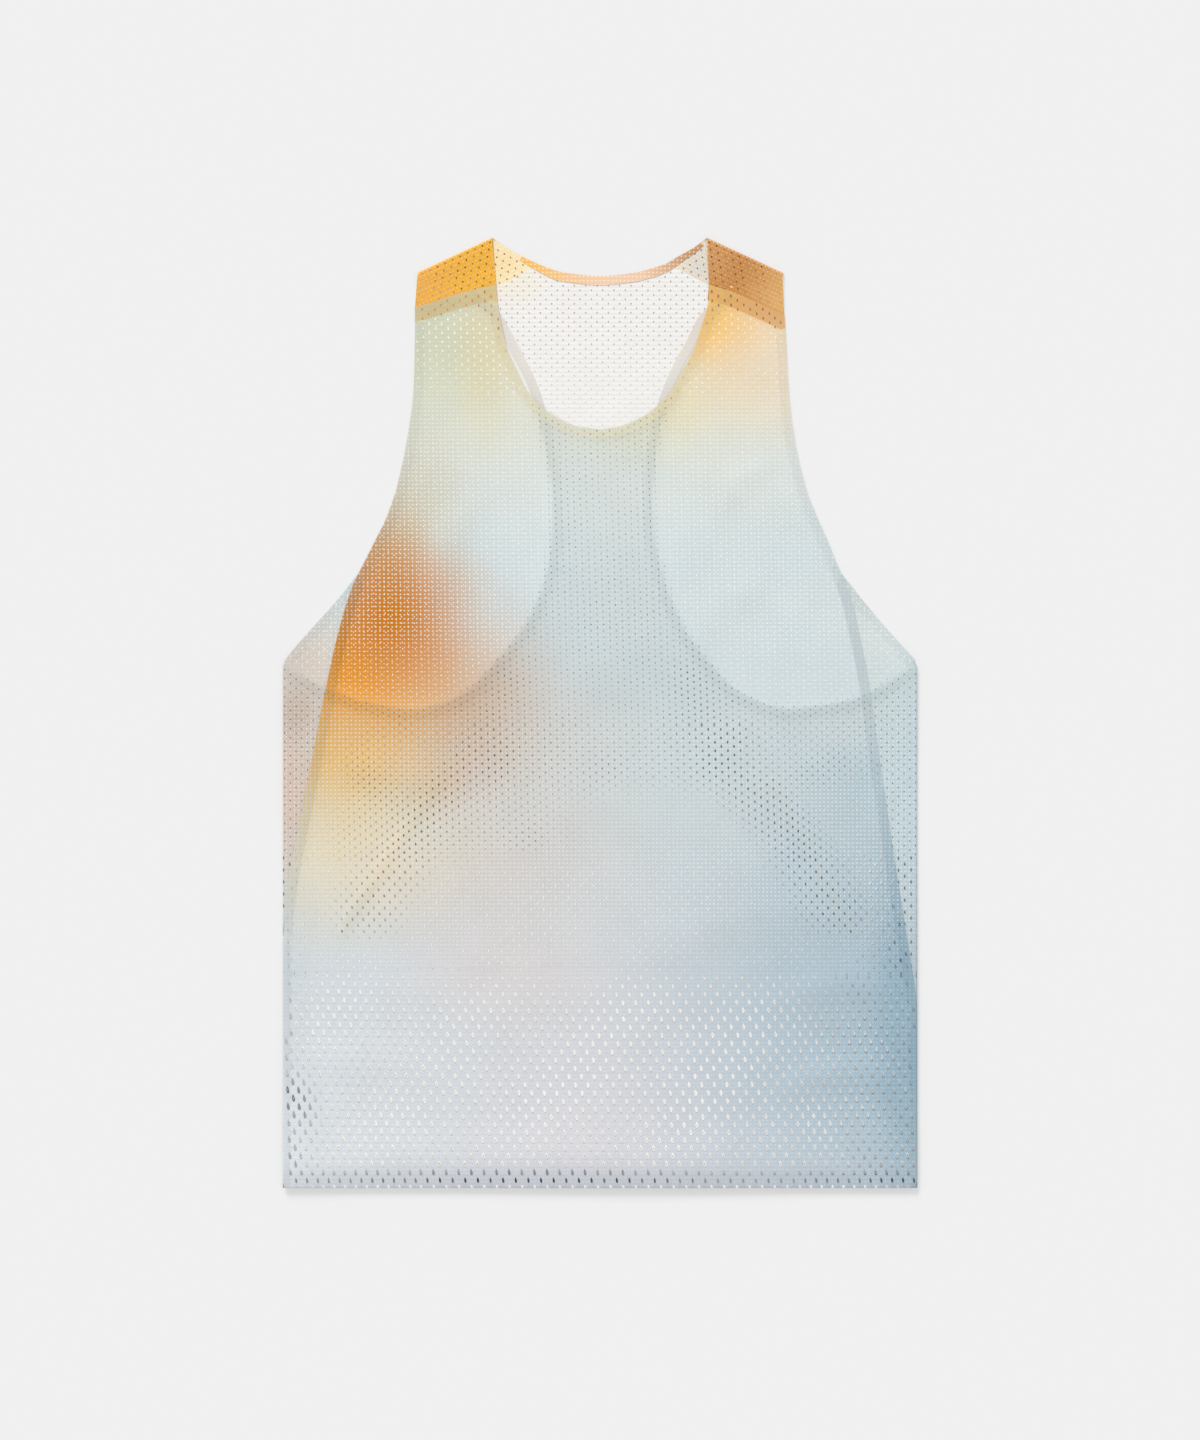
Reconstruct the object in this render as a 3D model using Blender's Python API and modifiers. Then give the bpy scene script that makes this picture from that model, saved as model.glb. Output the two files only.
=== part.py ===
"""Running singlet of perforated race knit, laid flat on its back with the front up.

Lengths are in metres, +X is to the right, +Y runs from the hem to the neck and +Z is up.
The origin is the centre of the flat underside. "left" is the -X side.

The back panel lies on the ground, folds up round both sides and ends in two flaps that lie
on top, where the side seams join them to the front panel. A yoke folds over each shoulder.
Every cloth piece is a flat outline, meshed in its own cutting plane, bent round the folds
without stretching it, and given the cloth's thickness.
"""
import math
from collections import namedtuple

import bpy
import numpy as np
from mathutils.geometry import delaunay_2d_cdt

MM = 0.001
LENGTH = 703.5 * MM  # hem to the neck ends of the shoulders
WIDTH = 470.0 * MM  # between the two side folds
WALL = 1.0 * MM  # thickness of every cloth piece
GAP = 0.3 * MM  # between pieces at a seam, and between layers
HEM_WIDTH = 6.7 * MM  # turned hems of the neck and the back armholes
HEM_END_SHARE = 0.3  # width of the neck hem at its ends, as a share of the full width
HEM_TAPER = 1.25  # how fast it widens from there, per share of its half length
TAPE_WIDTH = 7.0 * MM  # the two slanting tapes inside the back
GRID = 18.0 * MM  # spacing of the mesh inside a panel
EDGE_STEP = 7.0 * MM  # spacing of the points along a curved edge
FOLD_STEPS = 6  # facets round a half turn of a fold

BACK_Z = WALL / 2  # middle of the layer on the ground
HEM_Z = BACK_Z + WALL + GAP  # middle of the hems that lie on it
FRONT_Z = HEM_Z + WALL + GAP  # middle of the top layer
FOLD_R = (FRONT_Z - BACK_Z) / 2
HALF_TURN = math.pi * FOLD_R  # length of cloth round one fold
FLAT_HALF = WIDTH / 2 - FOLD_R - WALL / 2  # from the centre line to where a side fold starts
HALF_GIRTH = 2 * FLAT_HALF + HALF_TURN  # centre back to centre front
MID_FOLD = FLAT_HALF + HALF_TURN / 2  # centre front to the middle of a side fold

# Tables: height above the hem, and distance from the centre line on the left and the right, in mm.
Level = namedtuple("Level", "height left right")

FRONT_NECKLINE = (
    Level(668.3, 77.1, 80.8),
    Level(653.8, 75.6, 80.2),
    Level(638.3, 72.6, 75.6),
    Level(622.0, 68.9, 70.1),
    Level(604.2, 60.8, 60.4),
    Level(590.1, 53.6, 52.9),
    Level(579.0, 43.7, 42.6),
    Level(570.8, 32.6, 31.1),
    Level(564.1, 17.8, 16.3),
    Level(561.5, 0.0, 0.0),
)
FRONT_ARMHOLE = (
    Level(648.5, 137.1, 136.6),
    Level(627.9, 137.2, 137.9),
    Level(593.8, 138.1, 139.6),
    Level(570.8, 140.4, 141.8),
    Level(546.3, 144.4, 145.7),
    Level(526.3, 148.8, 150.5),
    Level(513.0, 152.2, 154.4),
    Level(494.4, 159.0, 162.0),
    Level(481.8, 165.3, 167.6),
    Level(468.5, 172.0, 173.1),
    Level(455.2, 178.8, 178.7),
)
SIDE_SEAM = (
    Level(455.2, 178.8, 178.7),
    Level(432.2, 187.2, 186.3),
    Level(407.0, 194.2, 192.0),
    Level(380.3, 200.2, 197.2),
    Level(348.4, 206.7, 201.8),
    Level(315.8, 212.8, 206.3),
    Level(286.1, 218.7, 210.9),
    Level(253.5, 225.3, 215.7),
    Level(232.0, 229.4, 219.1),
)
SIDE_SEAM_MEETS_FOLD = Level(0.0, 186.0, 128.0)  # heights, not distances, on the two sides
FLAP_ARMHOLE = (
    Level(455.2, 178.8, 178.7),
    Level(441.1, 189.8, 189.8),
    Level(427.0, 201.9, 201.4),
    Level(415.1, 212.6, 211.6),
    Level(402.9, 223.4, 222.4),
    Level(391.0, 233.2, 233.2),
)
BACK_ARMHOLE = (
    Level(657.2, 96.6, 96.8),
    Level(644.2, 80.0, 81.0),
    Level(632.3, 73.0, 74.1),
    Level(622.0, 67.6, 69.0),
    Level(609.3, 60.8, 61.8),
    Level(589.3, 51.6, 53.0),
    Level(561.2, 43.7, 44.4),
    Level(535.2, 38.2, 40.4),
    Level(505.6, 35.3, 38.9),
    Level(472.2, 36.6, 41.9),
    Level(442.6, 43.6, 50.0),
    Level(416.0, 56.4, 61.8),
    Level(393.0, 74.4, 77.6),
    Level(371.2, 94.6, 97.6),
    Level(360.2, 112.4, 116.2),
    Level(354.8, 133.6, 136.0),
    Level(355.0, 149.7, 148.3),
    Level(360.8, 179.0, 184.8),
    Level(370.2, 203.0, 206.8),
    Level(379.2, 222.0, 221.0),
    Level(385.2, 233.2, 233.2),
)
SHOULDER = (
    Level(703.5, 79.8, 79.2),
    Level(677.0, 136.8, 136.6),
)
YOKE_ARMHOLE = (
    Level(657.2, 96.6, 96.8),
    Level(662.4, 103.8, 104.5),
    Level(669.4, 114.2, 115.6),
    Level(673.8, 124.5, 126.0),
)
BACK_YOKE_SEAM = (
    Level(657.2, 96.6, 96.8),
    Level(667.5, 76.4, 81.5),
    Level(674.6, 62.3, 69.0),
    Level(684.6, 46.8, 49.6),
)
BACK_NECK = (
    Level(700.2, 75.2, 75.0),
    Level(696.1, 68.9, 69.4),
    Level(688.7, 55.8, 56.3),
    Level(684.6, 46.8, 49.6),
    Level(680.8, 37.6, 37.9),
    Level(677.5, 24.6, 24.2),
    Level(675.2, 0.0, 0.0),
)
BACK_TAPE = (
    Level(301.0, 120.4, 127.9),
    Level(191.0, 189.8, 185.3),
)
NECK_HEM_ENDS = Level(0.0, 61.0, 75.0)  # how far the back neck hem shows out from the centre

# The front seams of the two yokes differ: distance from the centre line, and height, in mm.
Seam = namedtuple("Seam", "left_out left_height right_out right_height")

FRONT_YOKE_SEAM = (
    Seam(77.1, 668.3, 80.8, 668.3),
    Seam(90.4, 665.4, 98.6, 662.7),
    Seam(103.8, 662.0, 113.4, 656.4),
    Seam(120.8, 656.6, 125.0, 651.2),
    Seam(137.1, 651.6, 136.6, 645.9),
)

RIGHT, LEFT = 1, -1
PIECES = bpy.data.collections.new("running_singlet")


def clear_scene():
    """Remove every object that the file starts with."""
    for thing in list(bpy.data.objects):
        bpy.data.objects.remove(thing)


def points(table, side):
    """The rows of a table as X, Y points on one side."""
    column = [row.right if side == RIGHT else row.left for row in table]
    return np.array([(side * d * MM, row.height * MM - LENGTH / 2) for d, row in zip(column, table)])


def yoke_seam(side):
    """The front seam of one yoke, from the neck to the armhole."""
    rows = [(row.right_out, row.right_height) if side == RIGHT else (row.left_out, row.left_height)
            for row in FRONT_YOKE_SEAM]
    return smooth(np.array([(side * out * MM, height * MM - LENGTH / 2) for out, height in rows]))


def smooth(knots, step=EDGE_STEP):
    """A Catmull-Rom curve through the knots, with points about one step apart."""
    ghosts = np.vstack([2 * knots[0] - knots[1], knots, 2 * knots[-1] - knots[-2]])
    t = np.linspace(0, 1, 24, endpoint=False)[:, None]
    runs = []
    for a, b, c, d in zip(ghosts, ghosts[1:], ghosts[2:], ghosts[3:]):
        runs.append(0.5 * (2 * b + (c - a) * t + (2 * a - 5 * b + 4 * c - d) * t**2
                           + (3 * b - a - 3 * c + d) * t**3))
    dense = np.vstack(runs + [knots[-1:]])
    travel = np.concatenate([[0], np.cumsum(np.linalg.norm(np.diff(dense, axis=0), axis=1))])
    stops = np.linspace(0, travel[-1], max(2, round(travel[-1] / step) + 1))
    return np.column_stack([np.interp(stops, travel, dense[:, k]) for k in (0, 1)])


def beside(line, distance):
    """A line moved sideways, to the left of the way it runs."""
    along = np.gradient(line, axis=0)
    along /= np.linalg.norm(along, axis=1)[:, None]
    return line + distance * np.column_stack([-along[:, 1], along[:, 0]])


def joined(*lines):
    """Lines end to end as one, without the points that repeat where they meet."""
    line = np.vstack(lines)
    moves = np.linalg.norm(np.diff(line, axis=0), axis=1)
    return line[np.concatenate([[True], moves > GAP])]


def anticlockwise(outline):
    """The outline, turned round if it runs clockwise."""
    (x, y), (ahead_x, ahead_y) = outline.T, np.roll(outline, -1, axis=0).T
    return outline if (x * ahead_y - ahead_x * y).sum() > 0 else outline[::-1]


def inside(spots, outline):
    """Which of the spots lie inside a closed outline, counting the edges each one crosses."""
    x, y = spots[:, :1], spots[:, 1:]
    (x0, y0), (x1, y1) = outline.T, np.roll(outline, -1, axis=0).T
    spans = (y0 > y) != (y1 > y)
    crossing = x0 + (y - y0) * (x1 - x0) / np.where(y1 == y0, 1, y1 - y0)
    return (spans & (x < crossing)).sum(axis=1) % 2 == 1


def clearance(spots, outline):
    """Distance from each spot to the nearest point of the outline."""
    return np.linalg.norm(spots[:, None] - outline[None], axis=2).min(axis=1)


def cloth(name, outline, place, creases, colour, spacing=GRID):
    """One cloth piece: its outline meshed flat, set in place by a bend, and thickened.

    creases are lines across the piece that the mesh's edges follow, so that a bend stays round.
    """
    outline = anticlockwise(outline)
    low, high = outline.min(axis=0), outline.max(axis=0)
    grid = np.array([(u, v) for u in np.arange(low[0], high[0], spacing)
                     for v in np.arange(low[1], high[1], spacing)]) + spacing / 2
    grid = grid[inside(grid, outline)]
    grid = grid[clearance(grid, outline) > spacing * 0.4]
    count = len(outline)
    flat = [tuple(p) for p in outline] + [tuple(p) for line in creases for p in line]
    edges = [(count + 2 * k, count + 2 * k + 1) for k in range(len(creases))]
    flat += [tuple(p) for p in grid]
    verts, _, faces, _, _, owners = delaunay_2d_cdt(flat, edges, [list(range(count))], 0, 1e-6)
    faces = [face for face, owner in zip(faces, owners) if owner]
    used = sorted({index for face in faces for index in face})
    rank = {old: new for new, old in enumerate(used)}
    bent = place(np.array([tuple(verts[index]) for index in used]))
    mesh = bpy.data.meshes.new(name)
    mesh.from_pydata(bent.tolist(), [], [[rank[index] for index in face] for face in faces])
    piece = bpy.data.objects.new(name, mesh)
    wall = piece.modifiers.new("wall", "SOLIDIFY")
    wall.thickness = WALL
    wall.offset = 0
    wall.use_quality_normals = True
    mesh.materials.append(fabric(name, colour))
    PIECES.objects.link(piece)
    return piece


def fabric(name, colour):
    """The piece's own knit material: matt, with the colour of its print."""
    material = bpy.data.materials.new(name)
    material.use_nodes = True
    shader = material.node_tree.nodes["Principled BSDF"]
    shader.inputs["Base Color"].default_value = (*colour, 1)
    shader.inputs["Roughness"].default_value = 0.85
    shader.inputs["Metallic"].default_value = 0
    return material


def half_turn(travel):
    """Where cloth gets to as it runs into a fold: how far out, and how high.

    travel is the length of cloth past the start of the fold. It runs flat along the lower
    layer up to 0, round a half circle, and then flat back along the top layer.
    """
    angle = np.clip(travel / FOLD_R, 0, math.pi)
    out = np.minimum(travel, 0) + FOLD_R * np.sin(angle) - np.maximum(travel - HALF_TURN, 0)
    return out, BACK_Z + FOLD_R * (1 - np.cos(angle))


def place_back(flat):
    """Bend the back panel up round both sides: across the cloth from its centre line, and along it."""
    side = np.where(flat[:, 0] < 0, LEFT, RIGHT)
    out, height = half_turn(np.abs(flat[:, 0]) - FLAT_HALF)
    return np.column_stack([side * (FLAT_HALF + out), flat[:, 1], height])


def place_front(flat):
    """Lay the front panel on top, with its sides turned down to the middle of the side folds."""
    side = np.where(flat[:, 0] < 0, LEFT, RIGHT)
    out, height = half_turn(HALF_GIRTH - np.abs(flat[:, 0]) - FLAT_HALF)
    return np.column_stack([side * (FLAT_HALF + out), flat[:, 1], height])


def place_hem(flat):
    """Lay a strip flat on the inside of the back."""
    return np.column_stack([flat, np.full(len(flat), HEM_Z)])


def side_seam(side):
    """The side seam as drawn on the front, from the armhole to the hem.

    It runs down the top layer to the side fold, and on along the middle of the fold.
    """
    meets = SIDE_SEAM_MEETS_FOLD.right if side == RIGHT else SIDE_SEAM_MEETS_FOLD.left
    fold = np.array([(side * MID_FOLD, meets * MM - LENGTH / 2)])
    hem = np.array([(side * MID_FOLD, -LENGTH / 2)])
    down = smooth(np.vstack([points(SIDE_SEAM, side), fold]), 2 * EDGE_STEP)
    return np.vstack([down, hem])


def fold_lines(side, low, high):
    """Lines along a panel at even steps round one side fold, from where it leaves the flat."""
    places = side * (FLAT_HALF + HALF_TURN * np.linspace(0, 1, FOLD_STEPS + 1))
    return [((x, low), (x, high)) for x in places]


def front_panel():
    """The front, from the yoke seams to the hem, with its scoop neck and armholes."""
    halves = []
    for side in (RIGHT, LEFT):
        seam = beside(side_seam(side)[::-1], side * GAP / 2)
        shoulder = beside(yoke_seam(side)[::-1], side * GAP / 2)
        armhole = smooth(points(FRONT_ARMHOLE, side)[::-1])
        neck = smooth(points(FRONT_NECKLINE, side))
        halves.append(joined(seam[:-1], armhole[:-1], shoulder, neck[1:]))
    outline = joined(halves[0], halves[1][::-1])
    creases = [line for side in (RIGHT, LEFT) for line in fold_lines(side, -LENGTH, 0)[:FOLD_STEPS // 2]]
    return cloth("front_panel", outline, place_front, creases, (0.62, 0.68, 0.66))


def back_panel():
    """The racerback back, with a flap past each side fold that lies on the front side."""
    halves = []
    for side in (RIGHT, LEFT):
        seam = on_back(beside(side_seam(side)[::-1], -side * GAP / 2), side)
        flap_edge = on_back(smooth(points(FLAP_ARMHOLE, side)), side)
        armhole = smooth(points(BACK_ARMHOLE, side)[::-1])
        shoulder = beside(smooth(points(BACK_YOKE_SEAM, side)), side * GAP / 2)
        neck = smooth(points(BACK_NECK[3:], side))
        halves.append(joined(seam[:-1], flap_edge, armhole[:-1], shoulder, neck[1:]))
    outline = joined(halves[0], halves[1][::-1])
    creases = [line for side in (RIGHT, LEFT) for line in fold_lines(side, -LENGTH, LENGTH)]
    return cloth("back_panel", outline, place_back, creases, (0.80, 0.79, 0.77))


def on_back(line, side):
    """A line drawn on the top layer, in the back panel's own plane past the side fold."""
    return np.column_stack([side * (HALF_GIRTH - np.abs(line[:, 0])), line[:, 1]])


def yoke(side, name, colour):
    """The shoulder piece: from the front seam, over the shoulder, to the back seam."""
    neck_end, arm_end = points(SHOULDER, side)
    along = (arm_end - neck_end) / np.linalg.norm(arm_end - neck_end)
    out = np.array([-along[1], along[0]]) * side
    start = neck_end - out * (FOLD_R + WALL / 2)

    def unfold(line, layer):
        """Points of the top or lower layer in the yoke's own plane: along the shoulder, and across."""
        away = (line - start) @ out
        across = away if layer == "lower" else HALF_TURN - away
        return np.column_stack([(line - start) @ along, across])

    def place(flat):
        reach, height = half_turn(flat[:, 1])
        spot = start + flat[:, :1] * along + reach[:, None] * out
        return np.column_stack([spot, height])

    front_seam = unfold(beside(yoke_seam(side), side * GAP / 2), "top")
    back_seam = unfold(beside(smooth(points(BACK_YOKE_SEAM, side)), -side * GAP / 2), "lower")
    armhole = unfold(smooth(points(YOKE_ARMHOLE, side)), "lower")
    neck = unfold(smooth(points(BACK_NECK[:4], side)), "lower")
    length = np.linalg.norm(arm_end - neck_end)
    outline = joined(front_seam, [(length, HALF_TURN / 2)], armhole[:0:-1], back_seam,
                     neck[-2::-1], [(0, HALF_TURN / 2)])
    creases = [((-GRID, level), (length + GRID, level))
               for level in HALF_TURN * np.linspace(0, 1, FOLD_STEPS + 1)]
    return cloth(name, outline, place, creases, colour, GRID / 2)


def back_neck_hem():
    """The turned hem of the back neck, which tapers away towards the shoulders."""
    edge = smooth(joined(points(BACK_NECK, LEFT), points(BACK_NECK, RIGHT)[::-1]))
    ends = np.where(edge[:, 0] < 0, NECK_HEM_ENDS.left, NECK_HEM_ENDS.right) * MM
    share = np.abs(edge[:, 0]) / ends
    edge, share = edge[share < 1], share[share < 1]
    width = HEM_WIDTH * np.clip(HEM_END_SHARE + HEM_TAPER * (1 - share), 0, 1)
    outline = np.vstack([edge, beside(edge, -width[:, None])[::-1]])
    return cloth("back_neck_hem", outline, place_hem, [], (0.72, 0.42, 0.20))


def back_armhole_hem(side, name):
    """The turned hem of one back armhole, from the yoke seam to the side fold."""
    edge = smooth(points(BACK_ARMHOLE, side), 0.7 * EDGE_STEP)[1:-1]
    inner = beside(edge, -side * HEM_WIDTH)
    outline = np.vstack([edge, inner[::-1]])
    return cloth(name, outline, place_hem, [], (0.45, 0.42, 0.38))


def back_tape(side, name):
    """A straight tape that slants across the inside of the back towards the side."""
    line = points(BACK_TAPE, side)
    outline = np.vstack([beside(line, TAPE_WIDTH / 2), beside(line, -TAPE_WIDTH / 2)[::-1]])
    return cloth(name, outline, place_hem, [], (0.50, 0.45, 0.40))


def main():
    clear_scene()
    bpy.context.scene.collection.children.link(PIECES)
    front_panel()
    back_panel()
    yoke(LEFT, "yoke_left", (0.84, 0.47, 0.07))
    yoke(RIGHT, "yoke_right", (0.58, 0.27, 0.09))
    back_neck_hem()
    for side, word in ((LEFT, "left"), (RIGHT, "right")):
        back_armhole_hem(side, f"back_armhole_hem_{word}")
        back_tape(side, f"back_tape_{word}")


main()
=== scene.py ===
"""Running singlet of perforated race knit, laid flat: the cloth, its print and the light.

Lengths are in metres, +X is to the right, +Y runs from the hem to the neck and +Z is up.
"left" is the -X side. Every panel is drawn in its own cutting plane, gets its holes there,
and is then bent round the side folds, over the shoulders and round its turned hems.
"""
import math
from collections import namedtuple
from functools import partial

import bpy
import numpy as np
from mathutils.geometry import delaunay_2d_cdt
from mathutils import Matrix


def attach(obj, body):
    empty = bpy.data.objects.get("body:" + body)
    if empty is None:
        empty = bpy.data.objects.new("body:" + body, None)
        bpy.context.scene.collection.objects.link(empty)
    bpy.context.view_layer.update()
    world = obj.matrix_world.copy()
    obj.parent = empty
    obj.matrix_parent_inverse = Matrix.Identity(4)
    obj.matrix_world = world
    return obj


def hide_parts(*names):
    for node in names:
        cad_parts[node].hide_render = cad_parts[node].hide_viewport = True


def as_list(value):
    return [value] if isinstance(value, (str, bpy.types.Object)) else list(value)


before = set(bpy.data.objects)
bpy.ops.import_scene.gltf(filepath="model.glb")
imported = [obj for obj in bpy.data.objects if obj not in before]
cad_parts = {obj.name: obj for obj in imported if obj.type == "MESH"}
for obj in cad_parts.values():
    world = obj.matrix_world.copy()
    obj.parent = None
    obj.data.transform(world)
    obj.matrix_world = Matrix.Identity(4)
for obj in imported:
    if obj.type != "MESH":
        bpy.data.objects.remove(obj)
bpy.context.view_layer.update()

MM = 0.001
LENGTH = 703.5 * MM  # hem to the neck ends of the shoulders
WIDTH = 470.0 * MM  # between the two side folds
CLOTH = 0.22 * MM  # thickness of the knit
PLY = 0.31 * MM  # from the middle of one layer to the middle of the next
BACK_Z = CLOTH / 2 + 0.03 * MM  # middle of the layer on the ground
FOLD_R = 0.95 * MM  # of the side folds and the shoulders
TOP_Z = BACK_Z + 2 * FOLD_R  # middle of the top layer at a fold
HALF_TURN = math.pi * FOLD_R
FLAT_HALF = WIDTH / 2 - FOLD_R - CLOTH / 2
HALF_GIRTH = 2 * FLAT_HALF + HALF_TURN
MID_FOLD = FLAT_HALF + HALF_TURN / 2
HEM_FOLD_R = 0.75 * PLY  # of the turned bottom hems
BOTTOM_HEM = 11.0 * MM
HEM_WIDTH = 7.0 * MM  # turned hems of the neck and the armholes
LAP = 10.5 * MM  # of the yokes under the front
SEAM_LAP = 6.5 * MM  # of the flaps under the front
BACK_HEM_WIDTH = 6.7 * MM
HEM_END_SHARE = 0.4  # width of the back neck's hem at its ends, as a share of its full width
HEM_TAPER = 1.25  # how fast it widens from there
TAPE_WIDTH = 7.0 * MM
EYELET_PITCH = 3.02 * MM  # of the fine eyelets, which are in the material
EYELET_SIZE = 0.9 * MM
EYELET_WANDER = 0.25 * MM
GRAIN = 4 * MM  # of the mesh of a strip without holes
CAMERA_HEIGHT = 3.0
SENSOR = 36  # mm across
VIEW_LENGTH = 1067.472 * MM  # of the floor that the camera sees from top to bottom
VIEW_MIDDLE = -5.56 * MM  # of that floor, as Y

# Tables: height above the hem, and distance from the centre line on the left and the right, in mm.
Level = namedtuple("Level", "height left right")

FRONT_NECKLINE = (
    Level(668.3, 77.1, 80.8),
    Level(653.8, 75.6, 80.2),
    Level(638.3, 72.6, 75.6),
    Level(622.0, 68.9, 70.1),
    Level(604.2, 60.8, 60.4),
    Level(590.1, 53.6, 52.9),
    Level(579.0, 43.7, 42.6),
    Level(570.8, 32.6, 31.1),
    Level(564.1, 17.8, 16.3),
    Level(561.5, 0.0, 0.0),
)
FRONT_ARMHOLE = (
    Level(648.5, 137.1, 136.6),
    Level(627.9, 137.2, 137.9),
    Level(593.8, 138.1, 139.6),
    Level(570.8, 140.4, 141.8),
    Level(546.3, 144.4, 145.7),
    Level(526.3, 148.8, 150.5),
    Level(513.0, 152.2, 154.4),
    Level(494.4, 159.0, 162.0),
    Level(481.8, 165.3, 167.6),
    Level(468.5, 172.0, 173.1),
    Level(455.2, 178.8, 178.7),
)
SIDE_SEAM = (
    Level(455.2, 178.8, 178.7),
    Level(432.2, 187.2, 186.3),
    Level(407.0, 194.2, 192.0),
    Level(380.3, 200.2, 197.2),
    Level(348.4, 206.7, 201.8),
    Level(315.8, 212.8, 206.3),
    Level(286.1, 218.7, 210.9),
    Level(253.5, 225.3, 215.7),
    Level(232.0, 229.4, 219.1),
)
SIDE_SEAM_MEETS_FOLD = Level(0.0, 186.0, 128.0)  # heights, not distances, on the two sides
FLAP_ARMHOLE = (
    Level(455.2, 178.8, 178.7),
    Level(441.1, 189.8, 189.8),
    Level(427.0, 201.9, 201.4),
    Level(415.1, 212.6, 211.6),
    Level(402.9, 223.4, 222.4),
    Level(391.0, 233.2, 233.2),
)
BACK_ARMHOLE = (
    Level(657.2, 96.6, 96.8),
    Level(644.2, 80.0, 81.0),
    Level(632.3, 73.0, 74.1),
    Level(622.0, 67.6, 69.0),
    Level(609.3, 60.8, 61.8),
    Level(589.3, 51.6, 53.0),
    Level(561.2, 43.7, 44.4),
    Level(535.2, 38.2, 40.4),
    Level(505.6, 35.3, 38.9),
    Level(472.2, 36.6, 41.9),
    Level(442.6, 43.6, 50.0),
    Level(416.0, 56.4, 61.8),
    Level(393.0, 74.4, 77.6),
    Level(371.2, 94.6, 97.6),
    Level(360.2, 112.4, 116.2),
    Level(354.8, 133.6, 136.0),
    Level(355.0, 149.7, 148.3),
    Level(360.8, 179.0, 184.8),
    Level(370.2, 203.0, 206.8),
    Level(379.2, 222.0, 221.0),
    Level(385.2, 233.2, 233.2),
)
SHOULDER = (
    Level(703.5, 79.8, 79.2),
    Level(677.0, 136.8, 136.6),
)
YOKE_ARMHOLE = (
    Level(657.2, 96.6, 96.8),
    Level(662.4, 103.8, 104.5),
    Level(669.4, 114.2, 115.6),
    Level(673.8, 124.5, 126.0),
)
BACK_YOKE_SEAM = (
    Level(657.2, 96.6, 96.8),
    Level(667.5, 76.4, 81.5),
    Level(674.6, 62.3, 69.0),
    Level(684.6, 46.8, 49.6),
)
BACK_NECK = (
    Level(700.2, 75.2, 75.0),
    Level(696.1, 68.9, 69.4),
    Level(688.7, 55.8, 56.3),
    Level(684.6, 46.8, 49.6),
    Level(680.8, 37.6, 37.9),
    Level(677.5, 24.6, 24.2),
    Level(675.2, 0.0, 0.0),
)
BACK_TAPE = (
    Level(301.0, 120.4, 127.9),
    Level(191.0, 189.8, 185.3),
)
NECK_HEM_ENDS = Level(0.0, 61.0, 77.3)

Seam = namedtuple("Seam", "left_out left_height right_out right_height")

FRONT_YOKE_SEAM = (
    Seam(77.1, 668.3, 80.8, 668.3),
    Seam(90.4, 665.4, 98.6, 662.7),
    Seam(103.8, 662.0, 113.4, 656.4),
    Seam(120.8, 656.6, 125.0, 651.2),
    Seam(137.1, 651.6, 136.6, 645.9),
)

COARSE_TOP = 159.0  # heights above the hem, in mm, where the knit of both panels changes
FINE_LOW = 246.0
HEM_ROWS = 13.5  # the rows of holes below this lie over the turned hem
LOWEST_ROW = 8.0  # and only one row below this
ROWS_DOWN = 0.6 * MM  # how far the rows lie below even steps from the hem

# Bands of holes up a panel, in mm: from and to which height, hole pitch across, row pitch, hole
# width and length, its corners, and the size of its inner edge as a share of its outer edge.
Band = namedtuple("Band", "low high pitch row wide long corners share")

FRONT_BANDS = (
    Band(-10.0, COARSE_TOP, 9.35, 6.08, 2.3, 5.9, 7, 0.3),
    Band(COARSE_TOP, FINE_LOW, 9.35, 4.45, 1.45, 2.5, 5, 0.3),
    Band(FINE_LOW, 346.0, 9.35, 3.17, 1.15, 1.8, 4, 0.35),
    Band(346.0, 592.0, 9.35, 2.39, 1.0, 1.6, 3, 0.35),
    Band(592.0, 668.0, 9.35, 3.35, 1.3, 2.4, 5, 0.35),
)
BACK_BANDS = (
    Band(-10.0, COARSE_TOP, 9.35, 6.08, 1.2, 2.7, 6, 1.7),
    Band(COARSE_TOP, FINE_LOW, 9.35, 4.45, 0.75, 1.4, 5, 2.0),
    Band(FINE_LOW, 700.0, 8.4, 3.34, 0.5, 0.8, 4, 2.4),
)
BACK_BOW = 4 * MM  # how far the back's rows rise in their middle
BACK_MIDDLE = 2 * MM  # where the middle of each row lies
# Where the holes of both layers come together, so that they look dark, with painted shade on their edges; as
# the tables above.
DARK_RUN = (
    Level(376.0, 70.0, 67.0),
    Level(317.0, 96.0, 93.0),
    Level(287.0, 119.0, 120.0),
    Level(250.0, 148.0, 149.0),
    Level(203.0, 171.0, 174.0),
)
YOKE_TOP_BAND = Band(-60.0, 60.0, 6.1, 4.45, 1.3, 1.9, 5, 0.4)
YOKE_LOW_BAND = Band(-60.0, 60.0, 6.1, 4.45, 0.38, 0.55, 5, 3.2)

RIGHT, LEFT = 1, -1
SIDES = ((LEFT, "left"), (RIGHT, "right"))


# ---------------------------------------------------------------- lines

def points(table, side):
    """The rows of a table as X, Y points on one side."""
    column = [row.right if side == RIGHT else row.left for row in table]
    return np.array([(side * d * MM, row.height * MM - LENGTH / 2) for d, row in zip(column, table)])


def above_hem(spots):
    """Height of each spot above the bottom edge, in metres."""
    return spots[:, 1] + LENGTH / 2


def yoke_seam(side):
    """The front seam of one yoke, from the neck to the armhole."""
    rows = [(row.right_out, row.right_height) if side == RIGHT else (row.left_out, row.left_height)
            for row in FRONT_YOKE_SEAM]
    return smooth(np.array([(side * out * MM, height * MM - LENGTH / 2) for out, height in rows]), 5 * MM)


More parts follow.
